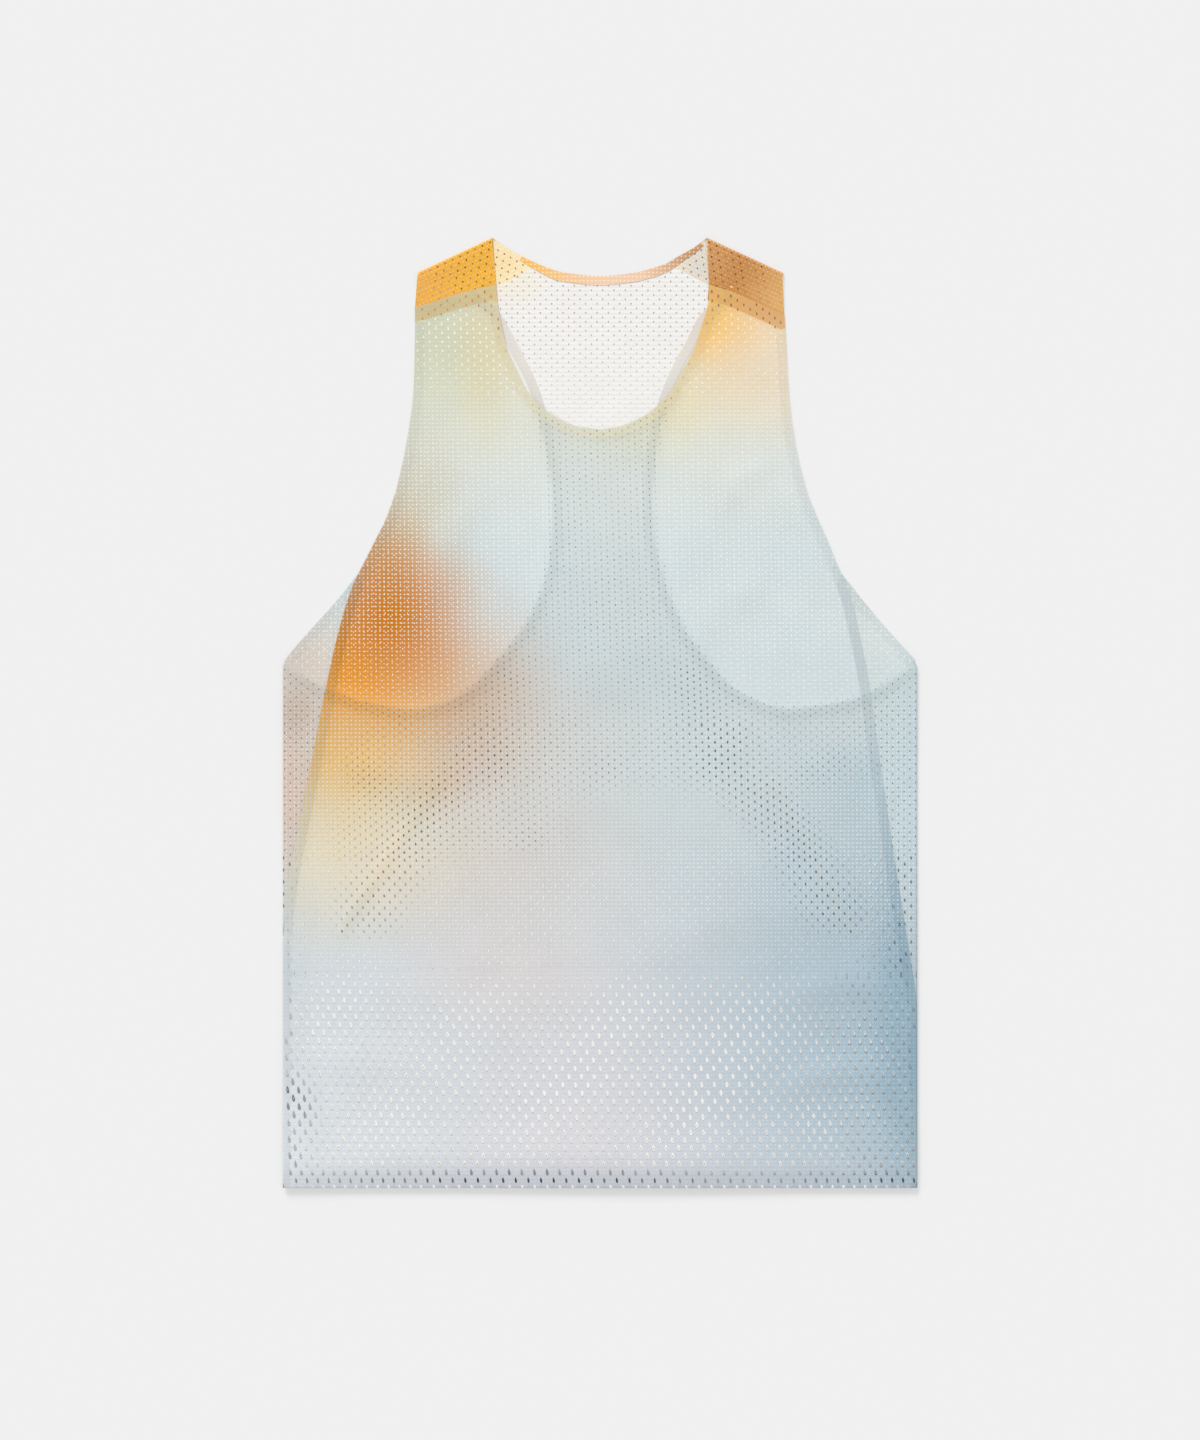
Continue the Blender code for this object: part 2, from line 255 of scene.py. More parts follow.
def smooth(knots, step=4 * MM):
    """A Catmull-Rom curve through the knots, with points about one step apart."""
    ghosts = np.vstack([2 * knots[0] - knots[1], knots, 2 * knots[-1] - knots[-2]])
    t = np.linspace(0, 1, 24, endpoint=False)[:, None]
    runs = []
    for a, b, c, d in zip(ghosts, ghosts[1:], ghosts[2:], ghosts[3:]):
        runs.append(0.5 * (2 * b + (c - a) * t + (2 * a - 5 * b + 4 * c - d) * t**2
                           + (3 * b - a - 3 * c + d) * t**3))
    dense = np.vstack(runs + [knots[-1:]])
    travel = np.concatenate([[0], np.cumsum(np.linalg.norm(np.diff(dense, axis=0), axis=1))])
    stops = np.linspace(0, travel[-1], max(2, round(travel[-1] / step) + 1))
    return np.column_stack([np.interp(stops, travel, dense[:, k]) for k in (0, 1)])


def beside(line, distance):
    """A line moved sideways, to the left of the way it runs."""
    along = np.gradient(line, axis=0)
    along /= np.linalg.norm(along, axis=1)[:, None]
    return line + distance * np.column_stack([-along[:, 1], along[:, 0]])


def joined(*lines):
    """Lines end to end as one, without the points that repeat where they meet."""
    line = np.vstack(lines)
    moves = np.linalg.norm(np.diff(line, axis=0), axis=1)
    return line[np.concatenate([[True], moves > 0.3 * MM])]


def anticlockwise(outline):
    """The outline, turned round if it runs clockwise."""
    (x, y), (ahead_x, ahead_y) = outline.T, np.roll(outline, -1, axis=0).T
    return outline if (x * ahead_y - ahead_x * y).sum() > 0 else outline[::-1]


def cut_area(outline):
    """Area inside a closed outline, as half the sum of its corners' cross products."""
    (x, y), (ahead_x, ahead_y) = outline.T, np.roll(outline, -1, axis=0).T
    return abs((x * ahead_y - ahead_x * y).sum()) / 2


def inside(spots, outline):
    """Which of the spots lie inside a closed outline, counting the edges each one crosses."""
    x, y = spots[:, :1], spots[:, 1:]
    (x0, y0), (x1, y1) = outline.T, np.roll(outline, -1, axis=0).T
    spans = (y0 > y) != (y1 > y)
    crossing = x0 + (y - y0) * (x1 - x0) / np.where(y1 == y0, 1, y1 - y0)
    return (spans & (x < crossing)).sum(axis=1) % 2 == 1


def from_line(spots, line):
    """Distance from each spot to a broken line: to the nearest point of each of its runs."""
    start, run = line[:-1], np.diff(line, axis=0)
    away = spots[:, None] - start
    share = np.clip((away * run).sum(axis=2) / (run**2).sum(axis=1), 0, 1)
    return np.linalg.norm(away - share[:, :, None] * run, axis=2).min(axis=1)


def nearer(spots, lines):
    """Distance from each spot to the nearer one of a left and a right line."""
    return np.minimum(from_line(spots, lines[LEFT]), from_line(spots, lines[RIGHT]))


def ease(value, low, high):
    """0 up to low, 1 from high, and 3t^2 - 2t^3 between them."""
    t = np.clip((value - low) / (high - low), 0, 1)
    return t * t * (3 - 2 * t)


def seam_meets_fold(side):
    """Where the side seam meets the side fold, as Y."""
    return (SIDE_SEAM_MEETS_FOLD.right if side == RIGHT else SIDE_SEAM_MEETS_FOLD.left) * MM - LENGTH / 2


def side_seam(side):
    """The side seam as drawn on the front, from the armhole to the hem."""
    ends = np.array([(side * MID_FOLD, seam_meets_fold(side)), (side * MID_FOLD, -LENGTH / 2)])
    return np.vstack([smooth(np.vstack([points(SIDE_SEAM, side), ends[:1]]), 8 * MM), ends[1:]])


ARMHOLE_LINES = {side: smooth(points(BACK_ARMHOLE, side)) for side, _ in SIDES}
SEAM_LINES = {side: side_seam(side) for side, _ in SIDES}
NECKLINE = joined(smooth(points(FRONT_NECKLINE, LEFT)), smooth(points(FRONT_NECKLINE, RIGHT))[::-1])
FRONT_ARMHOLE_LINES = {side: smooth(points(FRONT_ARMHOLE, side)) for side, _ in SIDES}
FLAP_LINES = {side: smooth(points(FLAP_ARMHOLE, side)) for side, _ in SIDES}
YOKE_SEAM_LINES = {side: yoke_seam(side) for side, _ in SIDES}
SHOULDER_LINES = {side: points(SHOULDER, side) for side, _ in SIDES}
DARK_RUN_LINES = {side: smooth(points(DARK_RUN, side), 10 * MM) for side, _ in SIDES}
# The front's own hems, seam allowances and laps: each line, and how far the cloth reaches from it.
OWN_LAPS = [(NECKLINE, HEM_WIDTH)] + [
    (lines[side], width) for side, _ in SIDES
    for lines, width in ((FRONT_ARMHOLE_LINES, HEM_WIDTH), (SEAM_LINES, SEAM_LAP), (YOKE_SEAM_LINES, LAP))]


def armhole_hem(side):
    """The middle of the hem along one of the back's armholes."""
    return beside(ARMHOLE_LINES[side], -side * HEM_WIDTH / 2)


# ---------------------------------------------------------------- how the layers lie

Crease = namedtuple("Crease", "x0 y0 x1 y1 wide high")

# Soft ridges and troughs of the front, in mm: both ends, half width and height.
FRONT_CREASES = (
    Crease(-196, -40, -120, -62, 16, 0.9),
    Crease(-215, -150, -90, -168, 20, -0.8),
    Crease(-60, -95, 70, -70, 26, 0.7),
    Crease(30, -190, 190, -150, 20, 0.9),
    Crease(120, -222, 222, -205, 13, 0.9),
    Crease(130, -255, 224, -246, 12, -0.8),
    Crease(128, -283, 226, -277, 12, 0.9),
    Crease(-225, -262, -110, -280, 18, 0.8),
    Crease(-90, -300, 60, -288, 22, -0.7),
    Crease(-30, 60, -70, 150, 15, 0.6),
    Crease(60, 40, 130, 100, 15, 0.7),
    Crease(80, 130, 132, 190, 10, 0.7),
    Crease(-128, 60, -80, 170, 12, 0.7),
    Crease(110, 20, 160, 120, 12, -0.6),
    Crease(-20, 0, 40, 60, 22, 0.6),
    Crease(205, -110, 226, -40, 10, 0.7),
    Crease(-226, -100, -204, 0, 10, 0.7),
)
BACK_CREASES = (
    Crease(-180, -60, -60, -95, 20, 0.8),
    Crease(40, -150, 190, -120, 22, 0.8),
    Crease(-200, -220, -60, -240, 18, 0.8),
    Crease(90, -260, 215, -275, 16, 0.7),
    Crease(-15, 90, 10, 210, 12, 0.6),
    Crease(-60, 10, 60, 25, 20, 0.6),
)


def ridges(spots, creases):
    """Height of the creases: each falls off as exp(-(d/w)^2) from a run that fades to its ends."""
    total = np.zeros(len(spots))
    for crease in creases:
        start = np.array([crease.x0, crease.y0]) * MM
        run = np.array([crease.x1, crease.y1]) * MM - start
        length = np.linalg.norm(run)
        along = ((spots - start) @ run) / length**2
        bend = 0.12 * length * np.sin(math.pi * along)
        away = (spots - start) @ np.array([-run[1], run[0]]) / length - bend
        fade = ease(along, -0.1, 0.35) * (1 - ease(along, 0.65, 1.1))
        total += crease.high * MM * fade * np.exp(-(away / (crease.wide * MM))**2)
    return total


def ripple(spots, size):
    """A slow unevenness of the whole cloth: three long waves that cross each other."""
    x, y = spots.T
    return size * (np.sin(31 * x + 17 * y + 0.6) + np.sin(-23 * x + 41 * y + 2.1)
                   + 0.7 * np.sin(57 * x + 9 * y + 4.0)) / 2.7


def stand(spots):
    """How far the whole stack stands off the ground: along the hem, and a little at the sides.

    Each lift falls off as exp(-(d/w)^2) from its edge, and varies slowly along it.
    """
    x, y = spots.T
    hem = np.exp(-((y + LENGTH / 2) / 0.080)**2) * (2.2 + 0.5 * np.sin(19 * x + 1.0))
    far = (WIDTH / 2 - np.abs(x)) / 0.014
    sides = np.exp(-far**2) * (0.7 + 0.4 * np.sin(23 * y + np.where(x < 0, 2.0, 0.4)))
    return np.maximum(hem, sides) * MM


def back_lift(spots):
    """How far the back panel's lower layer stands off the ground."""
    held = 1 - ease(np.abs(spots[:, 0]), FLAT_HALF - 22 * MM, FLAT_HALF - 3 * MM)
    return held * (0.12 * MM + np.abs(ripple(spots, 0.1 * MM)) + 0.35 * np.abs(ridges(spots, BACK_CREASES)))


def near(distance, half, soft):
    """1 on a band of that half width, 0 past its soft edge."""
    return 1 - ease(distance, half, half + soft)


def layers_below(spots):
    """What lies under the top layer, each 0 to 1: no back at all, a hem or tape, its own laps.

    Each has a soft edge. The back is missing inside both of its armholes.
    """
    window, band = np.zeros(len(spots)), np.zeros(len(spots))
    for side, _ in SIDES:
        arc = ARMHOLE_LINES[side]
        ring = np.vstack([arc, [(side * WIDTH, arc[-1, 1]), (side * WIDTH, LENGTH), (arc[0, 0], LENGTH)]])
        window = np.maximum(window, inside(spots, ring) * ease(from_line(spots, arc), 0, 9 * MM))
        for line, width in ((armhole_hem(side), HEM_WIDTH), (points(BACK_TAPE, side), TAPE_WIDTH)):
            band = np.maximum(band, near(from_line(spots, line), width / 2, 2.2 * MM))
    own = np.max([near(from_line(spots, line), width, 2 * MM) for line, width in OWN_LAPS], axis=0)
    return window, band, own


def top_height(spots):
    """Middle height of the top layer: on whatever lies under it, and up to the folds at the edges.

    Each layer below adds one ply where it lies. The folds and the turned bottom hem lift the
    cloth as smooth ramps of the distance from them.
    """
    window, band, own = layers_below(spots)
    lies = BACK_Z + back_lift(spots) + PLY * (1 - window) + PLY * band + PLY * own * (1 - 0.4 * band)
    free = ease(MID_FOLD - np.abs(spots[:, 0]), 3 * MM, 26 * MM)
    free *= ease(above_hem(spots), BOTTOM_HEM * 0.9, 55 * MM)
    free *= ease(nearer(spots, SHOULDER_LINES), 1.5 * MM, 24 * MM)
    waves = ridges(spots, FRONT_CREASES)
    waves = np.maximum(waves, 0) + 0.3 * np.minimum(waves, 0) + ripple(spots, 0.16 * MM) + 0.16 * MM
    return TOP_Z + free * (lies - TOP_Z + waves)


# ---------------------------------------------------------------- meshes

def bow_at(x, level, bow):
    """bow * (1 - (x / half width)^2), less near the hem: how far a row sinks at x."""
    return bow * (1 - (x / (WIDTH / 2))**2) * ease(level, 10 * MM, 70 * MM)


def hole_places(bands, middle, lean, draw_in, bow):
    """Each band of a panel with the centres of its holes, in the panel's cutting plane.

    Rows are one row pitch apart and every second row is moved by half a pitch. Across a row
    x = pitch * n, less draw_in * (|x| - 0.14 m) past 0.14 m. A row at height h runs at
    h - bow * (1 - (x / half width)^2), less near the hem, and the whole pattern leans by
    dx = lean * h.
    """
    found = []
    for band in bands:
        rows = np.arange(math.ceil(band.low / band.row), math.ceil(band.high / band.row))
        n, row = np.meshgrid(np.arange(-60, 61), rows)
        level = row * band.row * MM
        across = (n + (row % 2) / 2) * band.pitch * MM
        spread = np.sign(across) * (np.abs(across) - draw_in * np.maximum(np.abs(across) - 0.14, 0))
        x = middle + spread - lean * level
        y = level - bow_at(spread, level, bow) - ROWS_DOWN
        found.append((band, np.column_stack([x.ravel(), y.ravel()])))
    return found


def hole_rings(band, centres, tilt, grow=1.0, share=None):
    """Corners of each hole, and a row for each: its centre and the share its inner edge shrinks to.

    Corner k stands at angle a from the top; its width is sin(a) * (0.68 - 0.28 * cos(a)), so the
    widest place lies below the middle. The inner edge is centre + share * (corner - centre).
    """
    a = np.linspace(0, 2 * math.pi, band.corners, endpoint=False)
    shape = np.column_stack([-np.sin(a) * (0.68 - 0.28 * np.cos(a)) * band.wide * MM * 0.72,
                             np.cos(a) * band.long * MM / 2])
    turn = np.array([[math.cos(tilt), math.sin(tilt)], [-math.sin(tilt), math.cos(tilt)]])
    grow = np.broadcast_to(grow, (len(centres),))
    share = np.broadcast_to(band.share if share is None else share, (len(centres),))
    return centres[:, None] + grow[:, None, None] * (shape @ turn), np.column_stack([centres, share])


def flat_mesh(outline, rings, lines):
    """The flat piece as points, each point's hole (centre and share, or nan), and triangles.

    rings is a list of (corners, homes) arrays of holes; lines are broken lines that the mesh
    follows, so that it bends or changes tone there. Where there are no holes, a grid fills it.
    """
    closed = np.vstack([outline, outline[:1]])
    flat, homes = [], []

    def added(places, home=np.nan):
        """Add points with their holes. Gives the number of the first of them."""
        first = sum(len(part) for part in flat)
        flat.append(places)
        homes.append(np.broadcast_to(home, (len(places), 3)))
        return first

    added(outline)
    faces, edges = [list(range(len(outline)))], []
    for corners, home in rings:
        size = np.linalg.norm(corners - home[:, None, :2], axis=2).max(axis=1)
        keep = inside(home[:, :2], outline)
        keep[keep] &= from_line(home[keep, :2], closed) > size[keep] + 0.3 * MM
        each = corners.shape[1]
        first = added(corners[keep].reshape(-1, 2), np.repeat(home[keep], each, axis=0))
        faces += (first + np.arange(keep.sum() * each).reshape(-1, each)).tolist()
    for line in lines:
        steps = added(line) + np.arange(len(line) - 1)
        edges += np.column_stack([steps, steps + 1]).tolist()
    if not rings:
        low, high = outline.min(axis=0), outline.max(axis=0)
        u, v = np.meshgrid(np.arange(low[0], high[0], GRAIN), np.arange(low[1], high[1], GRAIN))
        grid = np.column_stack([u.ravel(), v.ravel()]) + GRAIN / 2
        grid = grid[inside(grid, outline)]
        added(grid[from_line(grid, closed) > GRAIN * 0.4] if len(grid) else grid)
    flat, homes = np.vstack(flat), np.vstack(homes)
    verts, _, tris, origins, _, owners = delaunay_2d_cdt(flat.tolist(), edges, faces, 0, 1e-7)
    tris = np.array([tri for tri, owner in zip(tris, owners) if owner == [0]])
    spots = np.array([tuple(v) for v in verts])
    first = np.array([origin[0] if origin else -1 for origin in origins])
    home = np.where(first[:, None] >= 0, homes[first], np.nan)
    used, tris = np.unique(tris, return_inverse=True)
    tris = tris.reshape(-1, 3)
    spots, home = spots[used], home[used]
    a, b, c = (spots[tris[:, k]] for k in range(3))
    turned = (b[:, 0] - a[:, 0]) * (c[:, 1] - a[:, 1]) - (c[:, 0] - a[:, 0]) * (b[:, 1] - a[:, 1]) < 0
    tris[turned] = tris[turned][:, ::-1]
    return spots, home, tris


def pair_keys(pairs, total):
    """One number for each pair of points, the same whichever way round they are."""
    return np.sort(pairs, axis=1) @ np.array([total, 1])


def perforated(name, outline, rings, place, slots, lines=(), paints=None):
    """A closed thin shell: the outline less the holes, bent by place, with a wall all round.

    The flat outline is meshed once; the outer face is place(p, +t/2) and the inner face
    place(p', -t/2), where p' = c + s * (p - c) round each hole's centre c, and a strip of
    wall joins their edges. paints gives each face a number from (its middle, its kind:
    0 outer, 1 inner, 2 wall, its place from its hole's centre).
    """
    spots, home, tris = flat_mesh(anticlockwise(outline), rings, lines)
    total = len(spots)
    sides = np.vstack([tris[:, [0, 1]], tris[:, [1, 2]], tris[:, [2, 0]]])
    _, where, counts = np.unique(pair_keys(sides, total), return_index=True, return_counts=True)
    rim = sides[where[counts == 1]]
    for here, there in (rim.T, rim.T[::-1]) * 2:
        lost = np.isnan(home[here, 0])
        home[here[lost]] = home[there[lost]]
    shrunk = np.where(np.isnan(home[:, :1]), spots, home[:, :2] + home[:, 2:] * (spots - home[:, :2]))
    walls = np.column_stack([rim[:, ::-1], rim + total])
    loops = np.concatenate([tris.ravel(), (tris[:, ::-1] + total).ravel(), walls.ravel()]).astype(np.int32)
    sizes = np.repeat([3, 4], [2 * len(tris), len(walls)])
    kinds = np.repeat([0, 1, 2], [len(tris), len(tris), len(walls)])
    corners = np.vstack([place(spots, CLOTH / 2), place(shrunk, -CLOTH / 2)])
    mesh = bpy.data.meshes.new(name)
    mesh.vertices.add(2 * total)
    mesh.vertices.foreach_set("co", corners.astype(np.float32).ravel())
    mesh.loops.add(len(loops))
    mesh.loops.foreach_set("vertex_index", loops)
    mesh.polygons.add(len(sizes))
    mesh.polygons.foreach_set("loop_start", (np.cumsum(sizes) - sizes).astype(np.int32))
    mesh.polygons.foreach_set("material_index", kinds.astype(np.int32))
    mesh.update(calc_edges=True)
    cut = mesh.uv_layers.new(name="cut")
    cut.data.foreach_set("uv", np.vstack([spots, shrunk])[loops].astype(np.float32).ravel())
    middles = np.vstack([spots[part].mean(axis=1) for part in (tris, tris, rim)])
    away = np.zeros_like(middles)
    away[kinds == 2] = np.nan_to_num(middles[kinds == 2] - home[rim[:, 0], :2])
    for word, rule in (paints or {}).items():
        layer = mesh.attributes.new(word, "FLOAT", "FACE")
        layer.data.foreach_set("value", rule(middles, kinds, away).astype(np.float32))
    outer = mesh.attributes.new("rim", "FLOAT", "POINT")
    outer.data.foreach_set("value", np.repeat([1.0, 0.0], total).astype(np.float32))
    mesh.shade_smooth()
    ends = np.zeros(2 * len(mesh.edges), np.int32)
    mesh.edges.foreach_get("vertices", ends)
    rims = pair_keys(np.vstack([rim, rim + total]), 2 * total)
    hard = np.isin(pair_keys(ends.reshape(-1, 2), 2 * total), rims)
    mesh.attributes.new("sharp_edge", "BOOLEAN", "EDGE").data.foreach_set("value", hard)
    for material in slots:
        mesh.materials.append(material)
    piece = bpy.data.objects.new(name, mesh)
    bpy.context.scene.collection.objects.link(piece)
    return piece


# ---------------------------------------------------------------- bends

def round_fold(travel, lift):
    """Where cloth gets to as it runs into a fold: how far out, and how high.

    travel is the length of cloth past the start of the fold, lift the distance inwards from
    the outer layer. It runs flat up to 0, round a half circle of radius FOLD_R - lift, and
    then flat back on top.
    """
    angle = np.clip(travel / FOLD_R, 0, math.pi)
    radius = FOLD_R - lift
    out = np.minimum(travel, 0) + radius * np.sin(angle) - np.maximum(travel - HALF_TURN, 0)
    return out, BACK_Z + FOLD_R - radius * np.cos(angle)


def turn_hem(along):
    """A hem turned inwards at height 0: how far up, and how far in.

    along is the length of cloth above the hem line. Below 0 it runs round a half circle of
    radius HEM_FOLD_R and back up.
    """
    travel = -np.minimum(along, 0)
    angle = np.clip(travel / HEM_FOLD_R, 0, math.pi)
    up = np.maximum(along, 0) - HEM_FOLD_R * np.sin(angle) + np.maximum(travel - math.pi * HEM_FOLD_R, 0)
    return up, HEM_FOLD_R * (1 - np.cos(angle))


def beyond_seam(spots, side):
    """How far a spot of the top layer lies inside the side seam, towards the centre."""
    line = SEAM_LINES[side][::-1]
    return np.interp(spots[:, 1], line[:, 1], np.abs(line[:, 0])) - np.abs(spots[:, 0])


def bent(flat, off, travel):
    """A panel bent at its hem and its side folds: where it lies, how high, and how far above the hem.

    travel is the length of cloth past the start of its side fold, off is towards its outside.
    """
    along = above_hem(flat)
    up, lift = turn_hem(along)
    lift = lift + np.where(along < -math.pi * HEM_FOLD_R / 2, off, -off)
    out, height = round_fold(travel, lift)
    side = np.where(flat[:, 0] < 0, LEFT, RIGHT)
    return np.column_stack([side * (FLAT_HALF + out), up - LENGTH / 2]), height, up


def place_back(flat, off):
    """Bend the back panel: its hem inwards, then up round both sides. off is towards its outside."""
    spots, height, up = bent(flat, off, np.abs(flat[:, 0]) - FLAT_HALF)
    top = top_height(spots) - TOP_Z
    tucked = np.where(flat[:, 0] < 0, beyond_seam(spots, LEFT), beyond_seam(spots, RIGHT))
    top -= PLY * ease(tucked, -0.8 * MM, 1.5 * MM) * ease(MID_FOLD - np.abs(spots[:, 0]), 2 * MM, 9 * MM)
    over = np.abs(flat[:, 0]) > FLAT_HALF + HALF_TURN / 2
    height += np.where(over, top, back_lift(spots)) * ease(up, 0, 6 * MM)
    return np.column_stack([spots, height + stand(spots)])


def place_front(flat, off):
    """Lay the front on top, its sides turned down to the middle of the folds and its hem in."""
    spots, height, up = bent(flat, off, HALF_GIRTH - np.abs(flat[:, 0]) - FLAT_HALF)
    edge = np.minimum(nearer(spots, SEAM_LINES), nearer(spots, YOKE_SEAM_LINES))
    height += top_height(spots) - TOP_Z
    height += 0.28 * MM * (1 - ease(edge, 1 * MM, 8 * MM)) * ease(up, 0, 20 * MM)
    return np.column_stack([spots, height + stand(spots)])


def under_front(flat, off):
    """Lay a strip one ply under the front, on the same rises."""
    return np.column_stack([flat, top_height(flat) - PLY + off + stand(flat)])


def on_lower_layer(flat, off):
    """Lay a strip one ply above the back panel's inside."""
    return np.column_stack([flat, BACK_Z + back_lift(flat) + PLY + off + stand(flat)])


# ---------------------------------------------------------------- materials

Cloud = namedtuple("Cloud", "x y reach_x reach_y colour strength")


def srgb(red, green, blue):
    """A screen colour, 0 to 255, as linear light."""
    v = np.array([red, green, blue]) / 255
    return tuple(np.where(v <= 0.04045, v / 12.92, ((v + 0.055) / 1.055)**2.4)) + (1.0,)


def fed(tree, made, **inputs):
    """A node with its inputs set: a value, or a socket to link from. _0 is its first input."""
    for key, value in inputs.items():
        socket = made.inputs[int(key[1:]) if key[0] == "_" else key.replace("_", " ")]
        if isinstance(value, bpy.types.NodeSocket):
            tree.links.new(value, socket)
        else:
            socket.default_value = value
    return made


def node(tree, kind, **inputs):
    """A new node with its inputs set, as in fed."""
    return fed(tree, tree.nodes.new(kind), **inputs)


def maths(tree, operation, a, b=0.0):
    """The result of one sum, product or wave."""
    made = tree.nodes.new("ShaderNodeMath")
    made.operation = operation
    return fed(tree, made, _0=a, _1=b).outputs[0]


def vector(tree, operation, a, **inputs):
    """The result of one sum, product or length of vectors."""
    made = tree.nodes.new("ShaderNodeVectorMath")
    made.operation = operation
    return fed(tree, made, _0=a, **inputs).outputs["Value" if operation == "LENGTH" else "Vector"]


def mixed(tree, share, a, b, way="MIX"):
    """Colour a, going over by share to b, or to their product where way is MULTIPLY."""
    made = tree.nodes.new("ShaderNodeMix")
    made.data_type = "RGBA"
    made.blend_type = way
    return fed(tree, made, Factor=share, A=a, B=b).outputs["Result"]


def between(tree, value, low, high, to_low=0.0, to_high=1.0):
    """A value spread smoothly over a range."""
    made = tree.nodes.new("ShaderNodeMapRange")
    made.interpolation_type = "SMOOTHSTEP"
    return fed(tree, made, Value=value, From_Min=low, From_Max=high, To_Min=to_low, To_Max=to_high).outputs[0]


def ombre(tree, base, clouds):
    """A base colour with soft clouds of other colours, each an oval round its centre: the print, and painted
    light and shade where the clouds stand for them.
    """
    where = tree.nodes.new("ShaderNodeTexCoord").outputs["Object"]
    colour = srgb(*base)
    for cloud in clouds:
        shift = tree.nodes.new("ShaderNodeMapping")
        shift.vector_type = "TEXTURE"
        fed(tree, shift, Vector=where, Location=(cloud.x * MM, cloud.y * MM, 0),
            Scale=(cloud.reach_x * MM, cloud.reach_y * MM, 1))
        far = vector(tree, "LENGTH", shift.outputs[0])
        colour = mixed(tree, between(tree, far, 0.0, 1.0, cloud.strength, 0.0), colour, srgb(*cloud.colour))
    return colour


def eyelets(tree, cut):
    """Small dots in rows on the cutting plane, where cos(u) + cos(v) is near its highest."""
    wobble = node(tree, "ShaderNodeTexNoise", Vector=cut, Scale=160.0, Detail=1.0)
    moved = vector(tree, "SUBTRACT", wobble.outputs["Color"], _1=(0.5, 0.5, 0.5))
    spot = vector(tree, "ADD", cut, _1=vector(tree, "SCALE", moved, Scale=EYELET_WANDER))
    turned = vector(tree, "SCALE", spot, Scale=2 * math.pi / EYELET_PITCH)
    parts = node(tree, "ShaderNodeSeparateXYZ", _0=turned).outputs
    total = maths(tree, "ADD", maths(tree, "COSINE", parts[0]), maths(tree, "COSINE", parts[1]))
    edge = 2 * math.cos(math.pi * EYELET_SIZE / EYELET_PITCH)
    return between(tree, total, edge - 0.2, edge + 0.3)


def painted(tree, word):
    """The number that each face carries under this name."""
    layer = node(tree, "ShaderNodeAttribute")
    layer.attribute_name = word
    return layer.outputs["Fac"]


def blank(name):
    """A new material and its node tree, still empty."""
    material = bpy.data.materials.new(name)
    material.use_nodes = True
    material.node_tree.nodes.clear()
    return material, material.node_tree


def surface(tree, colour, through, relief, **looks):
    """Matt yarn that lets the share called through of the light pass, as the tree's result."""
    cloth = node(tree, "ShaderNodeBsdfPrincipled", Base_Color=colour, **relief, **looks)
    glow = node(tree, "ShaderNodeBsdfTranslucent", Color=colour, **relief)
    both = node(tree, "ShaderNodeMixShader", _0=through, _1=cloth.outputs[0], _2=glow.outputs[0])
    node(tree, "ShaderNodeOutputMaterial", Surface=both.outputs[0])


def knit(name, base, clouds, dots=(255, 255, 255), dot_share=0.8, low_share=0.35, strap_share=1.0,
         through=0.35, ribs=0.016, rib_pitch=EYELET_PITCH, shade=(0.60, 0.66, 0.69), lap=None):
    """Matt race knit: the print, rows of fine eyelets, uneven yarn, and some light let through.

    A number on each face darkens it as painted shade where more layers lie below and let less light
    through, and their "lap" lets the colour of a yoke show through. The eyelets fade to low_share near
    the hem, by strap_share up the straps and in a band below the armholes.
    """
    material, tree = blank(name)
    add, times = partial(maths, tree, "ADD"), partial(maths, tree, "MULTIPLY")
    flat = node(tree, "ShaderNodeUVMap")
    flat.uv_map = "cut"
    cut = flat.outputs[0]
    place = tree.nodes.new("ShaderNodeTexCoord").outputs["Object"]
    fine = eyelets(tree, cut)
    height = node(tree, "ShaderNodeSeparateXYZ", _0=cut).outputs[1]
    band = add(between(tree, height, 0.03, 0.07, 0.0, 0.55), between(tree, height, -0.02, 0.02, 0.55, 0.0))
    share = times(between(tree, height, -0.2, -0.13, low_share, dot_share),
                  between(tree, height, 0.2, 0.27, 1.0, strap_share))
    share = times(times(share, add(band, 0.45)), fine)
    colour = ombre(tree, base, clouds)
    colour = mixed(tree, share, colour, mixed(tree, 0.8, colour, srgb(*dots)))
    yarn = node(tree, "ShaderNodeTexNoise", Vector=place, Scale=1500.0, Detail=3.0, Roughness=0.65).outputs[0]
    patch = node(tree, "ShaderNodeTexNoise", Vector=place, Scale=34.0, Detail=4.0, Roughness=0.55).outputs[0]
    rib = maths(tree, "COSINE", times(height, 2 * math.pi / rib_pitch))
    worn = add(between(tree, yarn, 0.3, 0.7, -0.04, 0.04), between(tree, patch, 0.3, 0.7, -0.01, 0.01))
    worn = add(add(worn, times(rib, ribs)), 0.975)
    colour = node(tree, "ShaderNodeHueSaturation", Color=colour, Value=worn).outputs[0]
    if lap:
        colour = mixed(tree, painted(tree, "lap"), colour, ombre(tree, *lap))
    # Painted shade: darker by each face's number where more layers lie below.
    colour = mixed(tree, painted(tree, "ply_shade"), colour, shade + (1.0,), "MULTIPLY")
    relief = maths(tree, "SUBTRACT", add(times(yarn, 0.5), times(rib, 0.15)), times(fine, 0.8))
    bump = node(tree, "ShaderNodeBump", Strength=0.3, Distance=0.00012, Height=relief)
    surface(tree, colour, through, {"Normal": bump.outputs[0]}, Specular_IOR_Level=0.25,
            Roughness=between(tree, yarn, 0.3, 0.7, 0.7, 0.86), Sheen_Weight=0.08, Sheen_Roughness=0.5)
    return material


